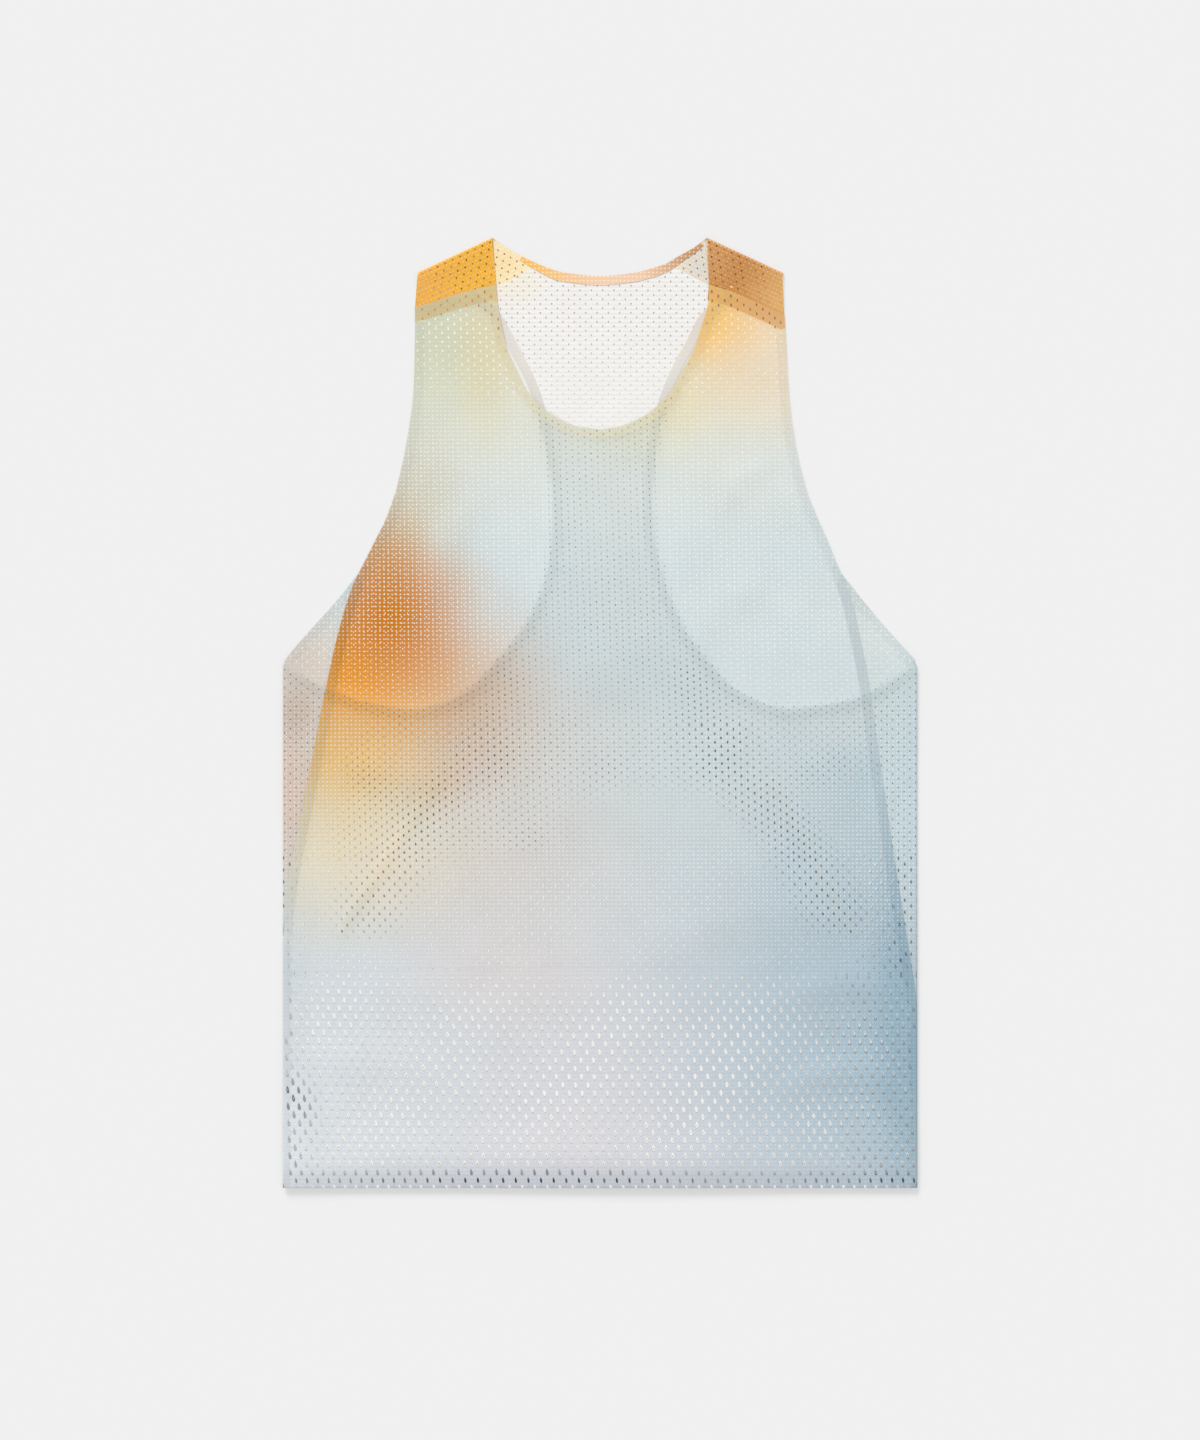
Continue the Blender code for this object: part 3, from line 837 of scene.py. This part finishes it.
def hole_wall(name, dark, clouds, pale=(255, 255, 255), pale_clouds=()):
    """The cut edge of the holes, coloured with the light and shade seen down them: from dark, painted shade
    tinted by the print below, to pale, painted light, by the faces' "tone", with the yarn's unevenness.

    A painted shade on each face takes some of the tone away again from the outer part of the edge.
    """
    material, tree = blank(name)
    place = tree.nodes.new("ShaderNodeTexCoord").outputs["Object"]
    yarn = node(tree, "ShaderNodeTexNoise", Vector=place, Scale=900.0, Detail=2.0).outputs[0]
    outer = between(tree, painted(tree, "rim"), 0.4, 0.55)
    less = maths(tree, "MULTIPLY", outer, painted(tree, "rim_shade"))
    tone = maths(tree, "SUBTRACT", painted(tree, "tone"), less)
    colour = mixed(tree, tone, ombre(tree, dark, clouds), ombre(tree, pale, pale_clouds))
    worn = between(tree, yarn, 0.3, 0.7, 0.9, 1.06)
    colour = node(tree, "ShaderNodeHueSaturation", Color=colour, Value=worn).outputs[0]
    surface(tree, colour, 0.3, {}, Roughness=between(tree, yarn, 0.3, 0.7, 0.7, 0.9), Specular_IOR_Level=0.2)
    return material


MINT = (214, 225, 228)
FRONT_CLOUDS = (
    Cloud(0, -330, 420, 330, (225, 225, 230), 1.0),
    Cloud(-250, -300, 230, 260, (227, 233, 238), 0.9),
    Cloud(0, 270, 400, 172, (232, 230, 209), 1.0),
    Cloud(135, 190, 80, 60, (226, 232, 232), 0.45),
    Cloud(110, 290, 90, 108, (245, 217, 174), 1.0),
    Cloud(80, 300, 44, 60, (252, 203, 102), 0.8),
    Cloud(140, 250, 40, 70, (238, 228, 212), 0.7),
    Cloud(-120, 275, 64, 90, (212, 215, 188), 0.75),
    Cloud(-85, 270, 32, 100, (227, 212, 164), 0.5),
    Cloud(0, 150, 100, 120, (222, 232, 235), 0.6),
    Cloud(240, -235, 270, 310, (176, 200, 214), 1.0),
    Cloud(224, -225, 30, 230, (148, 180, 197), 0.7),
    Cloud(195, -62, 55, 60, (184, 208, 218), 0.5),
    Cloud(25, 205, 66, 36, (227, 227, 196), 0.5),
    Cloud(71, 290, 30, 42, (246, 209, 130), 0.55),
    Cloud(58, 232, 38, 40, (237, 222, 176), 0.5),
    Cloud(118, 250, 55, 40, (234, 222, 198), 0.5),
    Cloud(0, 160, 90, 70, (228, 236, 234), 0.5),
    Cloud(-70, -190, 115, 60, (233, 222, 220), 0.5),
    Cloud(-140, 150, 60, 90, (214, 200, 166), 0.6),
    Cloud(-80, -30, 150, 110, (226, 218, 210), 0.65),
    Cloud(-90, -115, 165, 80, (231, 213, 202), 0.45),
    # Painted shade along the bottom hem.
    Cloud(0, -352, 420, 30, (200, 204, 213), 0.6),
    Cloud(-238, -310, 34, 90, (237, 242, 246), 0.7),
    Cloud(-118, 15, 105, 115, (216, 178, 140), 0.85),
    Cloud(-110, 98, 42, 42, (213, 190, 166), 0.5),
    Cloud(-128, -52, 42, 34, (214, 180, 146), 0.6),
    Cloud(-195, -96, 140, 102, (240, 230, 204), 0.95),
    Cloud(-200, -25, 110, 95, (239, 207, 140), 1.0),
    Cloud(-182, 25, 95, 100, (240, 171, 68), 1.0),
    Cloud(-182, -26, 44, 54, (236, 212, 156), 0.3),
    Cloud(-198, 60, 34, 64, (231, 155, 22), 0.8),
    Cloud(-160, 110, 50, 70, (206, 157, 86), 0.8),
    Cloud(-156, 70, 75, 78, (212, 132, 14), 1.0),
)
BACK_CLOUDS = (
    Cloud(0, -330, 420, 330, (216, 217, 225), 1.0),
    Cloud(0, 260, 400, 200, (226, 190, 130), 0.8),
    Cloud(-240, -56, 90, 124, (228, 207, 192), 1.0),
    Cloud(-215, 34, 60, 60, (224, 214, 204), 1.0),
    Cloud(-225, 0, 34, 34, (208, 186, 168), 0.6),
    Cloud(240, -60, 90, 200, (204, 222, 229), 0.85),
    Cloud(205, 52, 50, 44, (228, 234, 234), 0.7),
    Cloud(240, -300, 200, 260, (170, 192, 206), 0.9),
    Cloud(60, 40, 150, 170, (150, 175, 190), 0.6),
)
TAN = (164, 86, 30)


LAP_CLOUDS = (
    Cloud(-135, 310, 120, 64, (223, 189, 103), 1.0),
    Cloud(138, 310, 120, 70, (234, 165, 82), 1.0),
)
# Painted shade in the front's holes, tinted by the print of the cloth below.
DARK_HOLE_CLOUDS = (
    Cloud(0, 330, 420, 170, TAN, 1.0),
    Cloud(-190, -20, 120, 190, (88, 64, 46), 0.9),
    Cloud(-158, -115, 34, 62, (176, 92, 36), 0.9),
    Cloud(126, -58, 18, 26, (120, 66, 30), 0.8),
    Cloud(-110, 305, 70, 34, (228, 146, 44), 1.0),
)
# Painted light in the front's holes, tinted by the cloth below.
PALE_HOLE_CLOUDS = (
    Cloud(255, -240, 118, 150, (196, 218, 228), 1.0),
    Cloud(110, 255, 80, 80, (244, 230, 204), 1.0),
    Cloud(-120, 235, 80, 55, (232, 234, 220), 1.0),
)
# Painted shade in the back's holes, tinted brown by its print near the neck.
BACK_HOLE_CLOUDS = (
    Cloud(0, 330, 300, 190, TAN, 1.0),
    Cloud(-240, 0, 90, 200, (112, 92, 72), 0.9),
)
BACK_INSIDE_CLOUDS = (
    Cloud(-70, 325, 44, 34, (238, 228, 206), 0.7),
)
LEFT_YOKE_CLOUDS = (
    Cloud(-140, 310, 50, 70, (245, 183, 82), 0.8),
)
RIGHT_YOKE_CLOUDS = (
    Cloud(142, 305, 50, 60, (230, 180, 112), 1.0),
    Cloud(84, 340, 26, 34, (216, 160, 100), 0.9),
)
CREAM_CLOUDS = (
    Cloud(72, 332, 30, 40, (214, 208, 198), 1.0),
    Cloud(-72, 333, 24, 22, (238, 212, 160), 0.8),
)
# Painted shade in the yokes' holes, with the brown of their print.
YOKE_HOLE_CLOUDS = (
    Cloud(110, 310, 70, 80, (98, 44, 12), 1.0),
)
HEM_CLOUDS = (
    Cloud(0, 290, 200, 170, (241, 235, 227), 1.0),
    Cloud(78, 300, 40, 60, (224, 212, 200), 0.9),
)
NECK_HEM_CLOUDS = (
    Cloud(-66, 334, 75, 60, (248, 190, 82), 1.0),
    Cloud(80, 335, 60, 50, (190, 136, 84), 1.0),
)


def make_materials():
    """Every finish of the singlet, by name."""
    return {
        "front": knit("front_print", MINT, FRONT_CLOUDS, dots=(240, 241, 237), dot_share=0.95,
                      strap_share=0.3, lap=((252, 226, 150), LAP_CLOUDS)),
        # Its shade colour goes on fully on the turned hem's inner face: painted shade inside the hem.
        "front_inside": knit("front_inside", (248, 246, 243), (), shade=(0.10, 0.16, 0.20)),
        # Hole edges of the front: the dark colour is painted shade, the pale colour painted light.
        "front_wall": hole_wall("front_hole_light_and_shade", (62, 84, 98), DARK_HOLE_CLOUDS, (255, 254, 252),
                                PALE_HOLE_CLOUDS),
        "back": knit("back_print", (214, 223, 222), BACK_CLOUDS, dots=(248, 248, 242)),
        "back_inside": knit("back_inside", (233, 232, 230), BACK_INSIDE_CLOUDS, dot_share=0.0,
                            low_share=0.0, through=0.12, ribs=0.045, rib_pitch=3.34 * MM),
        # Hole edges of the back: dark as painted shade with the print, pale as painted light.
        "back_wall": hole_wall("back_hole_light_and_shade", (96, 112, 120), BACK_HOLE_CLOUDS),
        "yoke_left": knit("yoke_left_print", (246, 187, 66), LEFT_YOKE_CLOUDS, dots=(255, 240, 200),
                          dot_share=0.7, through=0.25),
        "yoke_right": knit("yoke_right_print", (206, 143, 74), RIGHT_YOKE_CLOUDS, dots=(252, 232, 204),
                           dot_share=0.65, through=0.25),
        "cream": knit("yoke_inside", (240, 227, 188), CREAM_CLOUDS, dot_share=0.2, through=0.1, ribs=0.02),
        # Hole edges of the yokes: dark as painted shade with the print, pale as painted light.
        "yoke_wall": hole_wall("yoke_hole_light_and_shade", (134, 62, 8), YOKE_HOLE_CLOUDS, (255, 236, 200)),
        # The hem strips' dark base is painted shade where they lie under the front; HEM_CLOUDS make them pale
        # where they show at the neck.
        "hem": knit("hem_print_and_shade", (165, 166, 160), HEM_CLOUDS, dots=(226, 226, 220), dot_share=0.3,
                    through=0.15),
        # The tape lies under the front; its dark dots are painted shade seen through the front's holes.
        "tape": knit("tape_print_and_shade", (196, 194, 188), (), dots=(90, 110, 118), through=0.1),
        "neck_hem": knit("neck_hem_print", (240, 205, 175), NECK_HEM_CLOUDS, dots=(252, 240, 220),
                         through=0.15),
    }


# ---------------------------------------------------------------- pieces

def fold_lines(side, high, share):
    """Lines up a panel at even steps round one side fold, or round a share of it."""
    places = side * (FLAT_HALF + HALF_TURN * np.linspace(0, 1, 7)[:share])
    rise = np.linspace(-LENGTH / 2 - BOTTOM_HEM, high, 40)
    return [np.column_stack([np.full(40, x), rise]) for x in places]


def hem_lines(half):
    """Lines across a panel at even steps round the turn of its bottom hem, and at its stitching."""
    levels = [-LENGTH / 2 - math.pi * HEM_FOLD_R * t for t in (0, 1 / 3, 2 / 3, 1)]
    run = np.linspace(-half, half, 60)
    return [np.column_stack([run, np.full(60, y)]) for y in levels + [-LENGTH / 2 + BOTTOM_HEM]]


def over_back_hole(spots):
    """1 where a spot of the front lies over a hole of the back, falling to 0 a hole's size away.

    The nearest hole comes from rounding to the back's rows and then along the row.
    """
    x = spots[:, 0] - BACK_MIDDLE
    level = above_hem(spots) + ROWS_DOWN
    level -= bow_at(x, level, BACK_BOW)
    found = np.zeros(len(spots))
    for band in BACK_BANDS:
        row = np.round(level / (band.row * MM))
        along = x / (band.pitch * MM) - (row % 2) / 2
        dx = (along - np.round(along)) * band.pitch
        dy = level / MM - row * band.row
        close = 1 - ease(np.hypot(dx / 1.3, dy), 0.6, 1.6)
        found = np.where((level >= band.low * MM) & (level < band.high * MM), close, found)
    return found


def front_rim_shade(middles, kinds, away):
    """How much painted shade darkens the outer part of a hole's edge, at the lower right of pale holes.

    In dark holes it is lighter there instead.
    """
    turn = away @ np.array([0.5, -0.86]) / np.maximum(np.linalg.norm(away, axis=1), 1e-9)
    height = above_hem(middles) / MM
    deep = 0.5 + 0.3 * ease(middles[:, 0], 0.15, 0.21) + 0.3 * (height < HEM_ROWS)
    return (height < FINE_LOW) * ease(turn, 0.15, 0.7) * deep * (front_hole_light(middles, kinds, away) - 0.1)


def dark_run(spots):
    """1 along the runs where the holes of both layers meet, falling to 0 beside them."""
    return near(nearer(spots, DARK_RUN_LINES), 3 * MM, 42 * MM)


def front_hole_light(middles, kinds, away):
    """How pale the edge of each of the front's holes is: painted light where a hole looks onto lit cloth or
    floor below, painted shade where it looks into the shade between the layers.

    It is 1 less the strongest of several painted shades, each with its own places: two layers of fine
    knit, the dark runs, hems and tapes below, seams and laps, the lower part, the hem's rows,
    and the lower corners at the side folds.
    """
    centre = middles - away
    x, height = centre[:, 0], above_hem(centre) / MM
    window, band, _ = layers_below(centre)
    low = height < FINE_LOW
    uneven = 0.5 + 0.5 * np.sin(900 * x + 1700 * centre[:, 1])
    slow = 0.5 + 0.5 * np.sin(41 * x + 1.0) * np.sin(33 * centre[:, 1] - 0.5)
    double = (1 - window) * ease(height, 225, 262)
    double *= 1 - 0.6 * (1 - ease(height, 283, 312)) * ease(x, -0.075, 0.015)
    double *= 1 - 0.55 * near(from_line(centre, SEAM_LINES[LEFT]), 14 * MM, 30 * MM)
    dark = dark_run(centre) * (0.82 + 0.18 * uneven) * (1 - window) * ease(height, 168, 200)
    shades = [double * (0.54 + 0.2 * slow + 0.26 * over_back_hole(centre)), 0.97 * dark, 0.8 * band]
    for side, _ in SIDES:
        shades.append(0.35 * near(from_line(centre, SEAM_LINES[side]), SEAM_LAP, 1 * MM))
        shades.append(0.9 * near(from_line(centre, YOKE_SEAM_LINES[side]), LAP, 1 * MM))
    stripes = 0.05 + 0.05 * np.sin(58 * x - 43 * centre[:, 1] + 0.6)
    shades.append(low * (stripes + ease(x, 0.07, 0.2) * (0.16 + 0.12 * uneven)))
    wave = 0.5 + 0.5 * np.cos(19 * (x + 0.05))
    hem = 0.35 + 0.4 * wave + (0.25 + 0.25 * wave) * (height < LOWEST_ROW)
    shades.append(hem * (0.75 + 0.25 * uneven) * (height < HEM_ROWS))
    tone = np.where(height < 2, 1, 1 - np.max(shades, axis=0))
    from_fold = (MID_FOLD - np.abs(x)) / MM
    left = (1 - ease(from_fold, 5, 40)) * (1 - ease(height, 70, 110)) * (0.5 + 0.5 * ease(height, 10, 45))
    right = 0.3 + 0.3 * (1 - ease(from_fold, 3, 14)) + 0.8 * ease(height, 145, 165)
    right *= (1 - ease(from_fold, 6, 48)) * (1 - ease(height, 205, FINE_LOW))
    tone = np.minimum(tone, 1 - np.where(x < 0, left, right) * (0.35 + 0.5 * uneven))
    return np.where(kinds == 2, tone, 0)


def front_ply_shade(middles, kinds, away):
    """Painted shade where more layers lie below: how much darker the front is over seam allowances, bottom
    hem, the back's hems and the yokes, and its inner face below the hem line.
    """
    height = above_hem(middles)
    over_hem = (height > 0) & (height < BOTTOM_HEM)
    ply_shade = np.maximum(0.25 * (nearer(middles, SEAM_LINES) < SEAM_LAP), 0.05 * over_hem)
    for side, _ in SIDES:
        ply_shade += 0.1 * near(from_line(middles, armhole_hem(side)), HEM_WIDTH / 2 - 1 * MM, 2 * MM)
    ply_shade += 0.12 * (nearer(middles, YOKE_SEAM_LINES) < LAP)
    # The turned hem's inner face below the hem line takes the full painted shade.
    return np.where(kinds == 1, 1.0 * (height < 0), ply_shade)


def front_lap(middles, kinds, away):
    """How much of a yoke's colour shows through the front: over its lap, neck hem and the tapes."""
    lap = 0.15 * (from_line(middles, NECKLINE) < HEM_WIDTH)
    for side, over_yoke, over_tape in ((LEFT, 0.48, 0.07), (RIGHT, 0.7, 0.04)):
        lap += over_yoke * (from_line(middles, YOKE_SEAM_LINES[side]) < LAP)
        lap += over_tape * near(from_line(middles, points(BACK_TAPE, side)), 1 * MM, 5 * MM)
    return lap


def on_top(middles, side):
    """Places in the back's plane as they lie on the top layer, and which belong to that side."""
    spots = np.column_stack([side * (HALF_GIRTH - np.abs(middles[:, 0])), middles[:, 1]])
    return spots, (np.sign(middles[:, 0]) == side) & (np.abs(middles[:, 0]) > MID_FOLD)


def back_hole_light(middles, kinds, away):
    """How pale the edge of each of the back's holes is, as painted light and shade with the print: darker
    towards the neck, pale on the flaps above the armhole hem.
    """
    centre = middles - away
    tone = 0.85 - 0.6 * ease(centre[:, 1], 0.2, 0.3)
    for side, _ in SIDES:
        top, mine = on_top(centre, side)
        below = np.interp(np.abs(top[:, 0]), [0.179, 0.235], [0.009, 0.034])
        tone = np.where(mine, 0.2 + 0.75 * ease(top[:, 1], below - 0.004, below + 0.006), tone)
    return np.where(kinds == 2, tone, 0)


def back_ply_shade(middles, kinds, away):
    """Painted shade where more layers lie below: how much darker the back is along its bottom hem, and the
    flaps over their hems.
    """
    height = above_hem(middles)
    ply_shade = 0.12 * ((height > 0) & (height < BOTTOM_HEM))
    for side, _ in SIDES:
        top, mine = on_top(middles, side)
        ply_shade += mine * 0.16 * near(from_line(top, armhole_hem(side)), HEM_WIDTH / 2 - 1 * MM, 2 * MM)
        ply_shade += mine * 0.12 * (from_line(top, FLAP_LINES[side]) < HEM_WIDTH)
    return np.where(kinds == 1, 0, ply_shade)


def hem_allowance(side, half):
    """The lower edge of one half of a panel, from near its middle to its side."""
    run = np.linspace(4 * MM, half, 30)
    return np.column_stack([side * run, np.full(30, -LENGTH / 2 - BOTTOM_HEM)])


def front_outline():
    """The front's cut: seams, armholes and neck, and a hem allowance below the hem line."""
    halves = []
    for side, _ in SIDES[::-1]:
        seam = beside(SEAM_LINES[side][::-1], -side * 0.7 * MM)
        seam[0] = (side * MID_FOLD, -LENGTH / 2)
        seam[seam[:, 1] < seam_meets_fold(side) + 1e-6, 0] = side * MID_FOLD
        allowance = hem_allowance(side, MID_FOLD - 2 * MM)
        shoulder = beside(YOKE_SEAM_LINES[side][::-1], -side * 0.5 * MM)
        armhole = FRONT_ARMHOLE_LINES[side][::-1]
        neck = smooth(points(FRONT_NECKLINE, side))
        halves.append(joined(allowance, seam[:-1], armhole[:-1], shoulder, neck[1:]))
    return joined(halves[0], halves[1][::-1])


def on_back(line, side):
    """A line drawn on the top layer, in the back panel's own plane past the side fold."""
    return np.column_stack([side * (HALF_GIRTH - np.abs(line[:, 0])), line[:, 1]])


def back_outline():
    """The back's cut, with the seam allowance of each flap and a hem allowance."""
    halves = []
    for side, _ in SIDES[::-1]:
        seam = SEAM_LINES[side][::-1]
        width = SEAM_LAP * ease(MID_FOLD - np.abs(seam[:, 0]), 1 * MM, 9 * MM)
        seam = on_back(beside(seam, side * width[:, None]), side)
        allowance = hem_allowance(side, HALF_GIRTH - MID_FOLD + 2 * MM)
        flap_edge = on_back(FLAP_LINES[side], side)
        armhole = ARMHOLE_LINES[side][::-1]
        shoulder = smooth(points(BACK_YOKE_SEAM, side))
        neck = smooth(points(BACK_NECK[3:], side))
        halves.append(joined(allowance, seam[:-1], flap_edge, armhole[:-1], shoulder, neck[1:]))
    return joined(halves[0], halves[1][::-1])


def make_front(finish):
    """The front panel with all its holes, which grow or shrink a little by where they lie."""
    outline = front_outline()
    rings = []
    for band, centres in hole_places(FRONT_BANDS, 8 * MM, 0.035, 0.14, 3 * MM):
        centres = centres - [0, LENGTH / 2]
        height = above_hem(centres) / MM
        fine = band.low >= FINE_LOW
        grow = 1 - 0.3 * ease(height, 125, COARSE_TOP) * (height < 160)
        grow += fine * 0.3 * dark_run(centres) + fine * 0.15 * (layers_below(centres)[0] < 0.5)
        grow -= (height > 2) * (0.1 * (height < HEM_ROWS) + 0.14 * (height < LOWEST_ROW))
        grow += 0.45 * (band.low == COARSE_TOP) * ease(centres[:, 0], 180 * MM, 206 * MM)
        rings.append(hole_rings(band, centres, 0.0 if fine else 0.15, grow))
    lines = [line for side, _ in SIDES for line in fold_lines(side, -0.17, 4)] + hem_lines(MID_FOLD - 2 * MM)
    lines.append(beside(NECKLINE, -HEM_WIDTH)[2:-2])
    for side, _ in SIDES:
        lines.append(beside(FRONT_ARMHOLE_LINES[side], -side * HEM_WIDTH)[2:-1])
        lines.append(beside(SEAM_LINES[side], -side * SEAM_LAP)[1:-3])
        lines.append(beside(YOKE_SEAM_LINES[side], -side * LAP)[1:-1])
    looks = finish["front"], finish["front_inside"], finish["front_wall"]
    paints = {"ply_shade": front_ply_shade, "lap": front_lap, "tone": front_hole_light, "rim_shade": front_rim_shade}
    return perforated("front_knit", outline, rings, place_front, looks, lines, paints), outline


def make_back(finish):
    """The back panel with its flaps and all its holes, which are wider outside on the flaps."""
    outline = back_outline()
    rings = []
    for band, centres in hole_places(BACK_BANDS, BACK_MIDDLE, 0.0, 0.0, -BACK_BOW):
        flap = np.abs(centres[:, 0]) > MID_FOLD
        rings.append(hole_rings(band, centres - [0, LENGTH / 2], 0.0, np.where(flap, 2.3, 1.0),
                                np.where(flap, 0.4, band.share)))
    lines = [line for side, _ in SIDES for line in fold_lines(side, 0.034, 7)]
    lines += hem_lines(HALF_GIRTH - MID_FOLD)
    looks = finish["back"], finish["back_inside"], finish["back_wall"]
    paints = {"ply_shade": back_ply_shade, "tone": back_hole_light}
    return perforated("back_knit", outline, rings, place_back, looks, lines, paints), outline


def make_yoke(side, word, finish):
    """One shoulder piece, from its lap under the front, over the shoulder, to the back seam.

    In its plane u runs along the shoulder and v across it; round_fold bends v over the
    shoulder, and past the front seam the cloth sinks one ply, under the front.
    """
    neck_end, arm_end = SHOULDER_LINES[side]
    length = np.linalg.norm(arm_end - neck_end)
    along = (arm_end - neck_end) / length
    out = np.array([-along[1], along[0]]) * side
    start = neck_end - out * (FOLD_R + CLOTH / 2)
    seam = YOKE_SEAM_LINES[side]
    order = np.argsort(np.abs(seam[:, 0]))

    def unfold(line, layer):
        """Points of the top or lower layer in the yoke's own plane."""
        away = (line - start) @ out
        across = away if layer == "lower" else HALF_TURN - away
        return np.column_stack([(line - start) @ along, across])

    def place(flat, off):
        """Bend the yoke over the shoulder. off is towards its outside."""
        reach, height = round_fold(flat[:, 1], -off)
        spots = start + flat[:, :1] * along + reach[:, None] * out
        below = np.interp(np.abs(spots[:, 0]), np.abs(seam[order, 0]), seam[order, 1]) - spots[:, 1]
        top = top_height(spots) - TOP_Z - PLY * ease(below, -0.5 * MM, 2 * MM)
        height += np.where(flat[:, 1] > HALF_TURN / 2, top, back_lift(spots))
        return np.column_stack([spots, height + stand(spots)])

    def tone(middles, kinds, away):
        """Painted light and shade in the holes: darkest on the lower layer, paler towards the armhole, and in
        places.
        """
        u, v = (middles - away).T
        pale = 0.12 + 0.3 * ease(u, 0.03, 0.06) + 0.2 * np.sin(700 * u + 2300 * v)
        return np.where(kinds == 2, np.clip(pale * (v > HALF_TURN / 2), 0.05, 1), 0)

    across = np.linspace(seam[0, 0] - side * 1 * MM, seam[-1, 0], len(seam))
    lap_line = np.column_stack([across, seam[:, 1] - LAP])
    back_seam = unfold(smooth(points(BACK_YOKE_SEAM, side)), "lower")
    armhole = unfold(smooth(points(YOKE_ARMHOLE, side)), "lower")
    neck = unfold(smooth(points(BACK_NECK[:4], side)), "lower")
    turn = np.linspace(-1, 1, 7)
    rounding = (2.2 if side == LEFT else 0.5) * MM
    end = np.column_stack([length - rounding * (1 - turn**2), HALF_TURN / 2 - 3.6 * MM * turn])
    outline = joined(unfold(seam[:1], "top"), unfold(lap_line, "top"), unfold(seam[-1:], "top"), end,
                     armhole[-2:0:-1], back_seam, neck[-2::-1], [(0, HALF_TURN / 2)])
    band = YOKE_TOP_BAND
    n, m = np.meshgrid(np.arange(-30, 31), np.arange(-30, 31))
    centres = np.column_stack([((n + (m % 2) / 2) * band.pitch * MM).ravel(), (m * band.row * MM).ravel()])
    from_fold = centres[:, 1] - HALF_TURN / 2
    rings = [hole_rings(YOKE_TOP_BAND, centres[from_fold > 2.2 * MM], 0.0),
             hole_rings(YOKE_LOW_BAND, centres[from_fold < -2.2 * MM], 0.0)]
    lines = [np.array([(1 * MM, v), (length - 1 * MM, v)]) for v in HALF_TURN * np.linspace(0, 1, 7)]
    looks = finish[f"yoke_{word}"], finish["cream"], finish["yoke_wall"]
    return perforated(f"yoke_{word}_knit", outline, rings, place, looks, lines, {"tone": tone}), outline


def strip(name, edge, width, place, finish):
    """A narrow strip along an edge, on its left by width, which may change along it."""
    width = np.broadcast_to(np.asarray(width, float), (len(edge),))[:, None]
    return perforated(name, np.vstack([edge, beside(edge, width)[::-1]]), [], place, (finish,) * 3)


def make_strips(finish):
    """The turned hems and the tapes: (piece, CAD node or None, slot)."""
    made = []

    def add(name, edge, width, place=under_front, look="front", stands_for=None, slot="front_knit"):
        """Make one strip and keep it with what it stands for."""
        made.append((strip(name, edge, width, place, finish[look]), stands_for, slot))

    edge = smooth(joined(points(BACK_NECK, LEFT), points(BACK_NECK, RIGHT)[::-1]))
    ends = np.where(edge[:, 0] < 0, NECK_HEM_ENDS.left, NECK_HEM_ENDS.right) * MM
    share = np.abs(edge[:, 0]) / ends
    edge, share = edge[share < 1], share[share < 1]
    width = BACK_HEM_WIDTH * np.clip(HEM_END_SHARE + HEM_TAPER * (1 - share), 0, 1)
    add("neck_hem", edge, -width, on_lower_layer, "neck_hem", "back_neck_hem", "neck_hem_knit")
    for side, word in SIDES:
        add(f"back_armhole_hem_band_{word}", ARMHOLE_LINES[side][1:-1], -side * BACK_HEM_WIDTH,
            on_lower_layer, "hem", f"back_armhole_hem_{word}", "armhole_hem_knit")
        add(f"back_tape_band_{word}", beside(np.linspace(*points(BACK_TAPE, side), 24), TAPE_WIDTH / 2),
            -TAPE_WIDTH, on_lower_layer, "tape", f"back_tape_{word}", "tape_knit")
        add(f"front_armhole_hem_{word}", FRONT_ARMHOLE_LINES[side][2:-1], -side * HEM_WIDTH)
    add("front_neck_hem", NECKLINE[3:-3], -HEM_WIDTH)
    return made


def make_scene():
    """Camera, floor and light: a pale table under a soft sky and one large lamp."""
    scene = bpy.context.scene
    scene.view_settings.view_transform = "Standard"
    camera = bpy.data.objects.new("camera", bpy.data.cameras.new("camera"))
    scene.collection.objects.link(camera)
    camera.location = (0, VIEW_MIDDLE, CAMERA_HEIGHT)
    camera.data.sensor_width = SENSOR
    camera.data.lens = SENSOR * CAMERA_HEIGHT / VIEW_LENGTH
    camera.data.clip_end = 20
    scene.camera = camera
    scene.world = bpy.data.worlds.new("studio")
    scene.world.use_nodes = True
    sky = scene.world.node_tree
    fed(sky, sky.nodes["Background"], Color=(1.0, 1.0, 1.0, 1), Strength=0.78)
    lamp = bpy.data.objects.new("lamp", bpy.data.lights.new("lamp", "SUN"))
    lamp.data.angle = math.radians(24)
    lamp.data.energy = 2.82
    lamp.rotation_euler = (math.radians(-60), 0, math.radians(20))
    scene.collection.objects.link(lamp)
    mesh = bpy.data.meshes.new("table")
    mesh.from_pydata([(-4, -4, 0), (4, -4, 0), (4, 4, 0), (-4, 4, 0)], [], [(0, 1, 2, 3)])
    table = bpy.data.objects.new("table", mesh)
    material, tree = blank("table")
    matt = node(tree, "ShaderNodeBsdfDiffuse", Color=srgb(162, 162, 162))
    glow = node(tree, "ShaderNodeEmission", Color=(1.0, 1.0, 1.0, 1.0), Strength=0.43)
    lit = node(tree, "ShaderNodeAddShader", _0=matt.outputs[0], _1=glow.outputs[0])
    node(tree, "ShaderNodeOutputMaterial", Surface=lit.outputs[0])
    mesh.materials.append(material)
    scene.collection.objects.link(table)


def main():
    """Make the singlet, attach every piece to the root body and hide the CAD parts its pieces stand for."""
    make_scene()
    finish = make_materials()
    back, back_cut = make_back(finish)
    front, front_cut = make_front(finish)
    sheets = [(back, "back_panel", "back_knit", back_cut, ["table"]),
              (front, "front_panel", "front_knit", front_cut, [back])]
    for side, word in SIDES:
        yoke, cut = make_yoke(side, word, finish)
        sheets.append((yoke, f"yoke_{word}", f"yoke_{word}_knit", cut, [back]))
    strips = make_strips(finish)
    for piece, cad_node, slot in strips + [sheet[:3] for sheet in sheets]:
        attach(piece, "root")
        if cad_node:
            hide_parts(cad_node)
    for piece, _, slot, cut, rests in sheets:
        cut_area(cut)
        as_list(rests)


main()
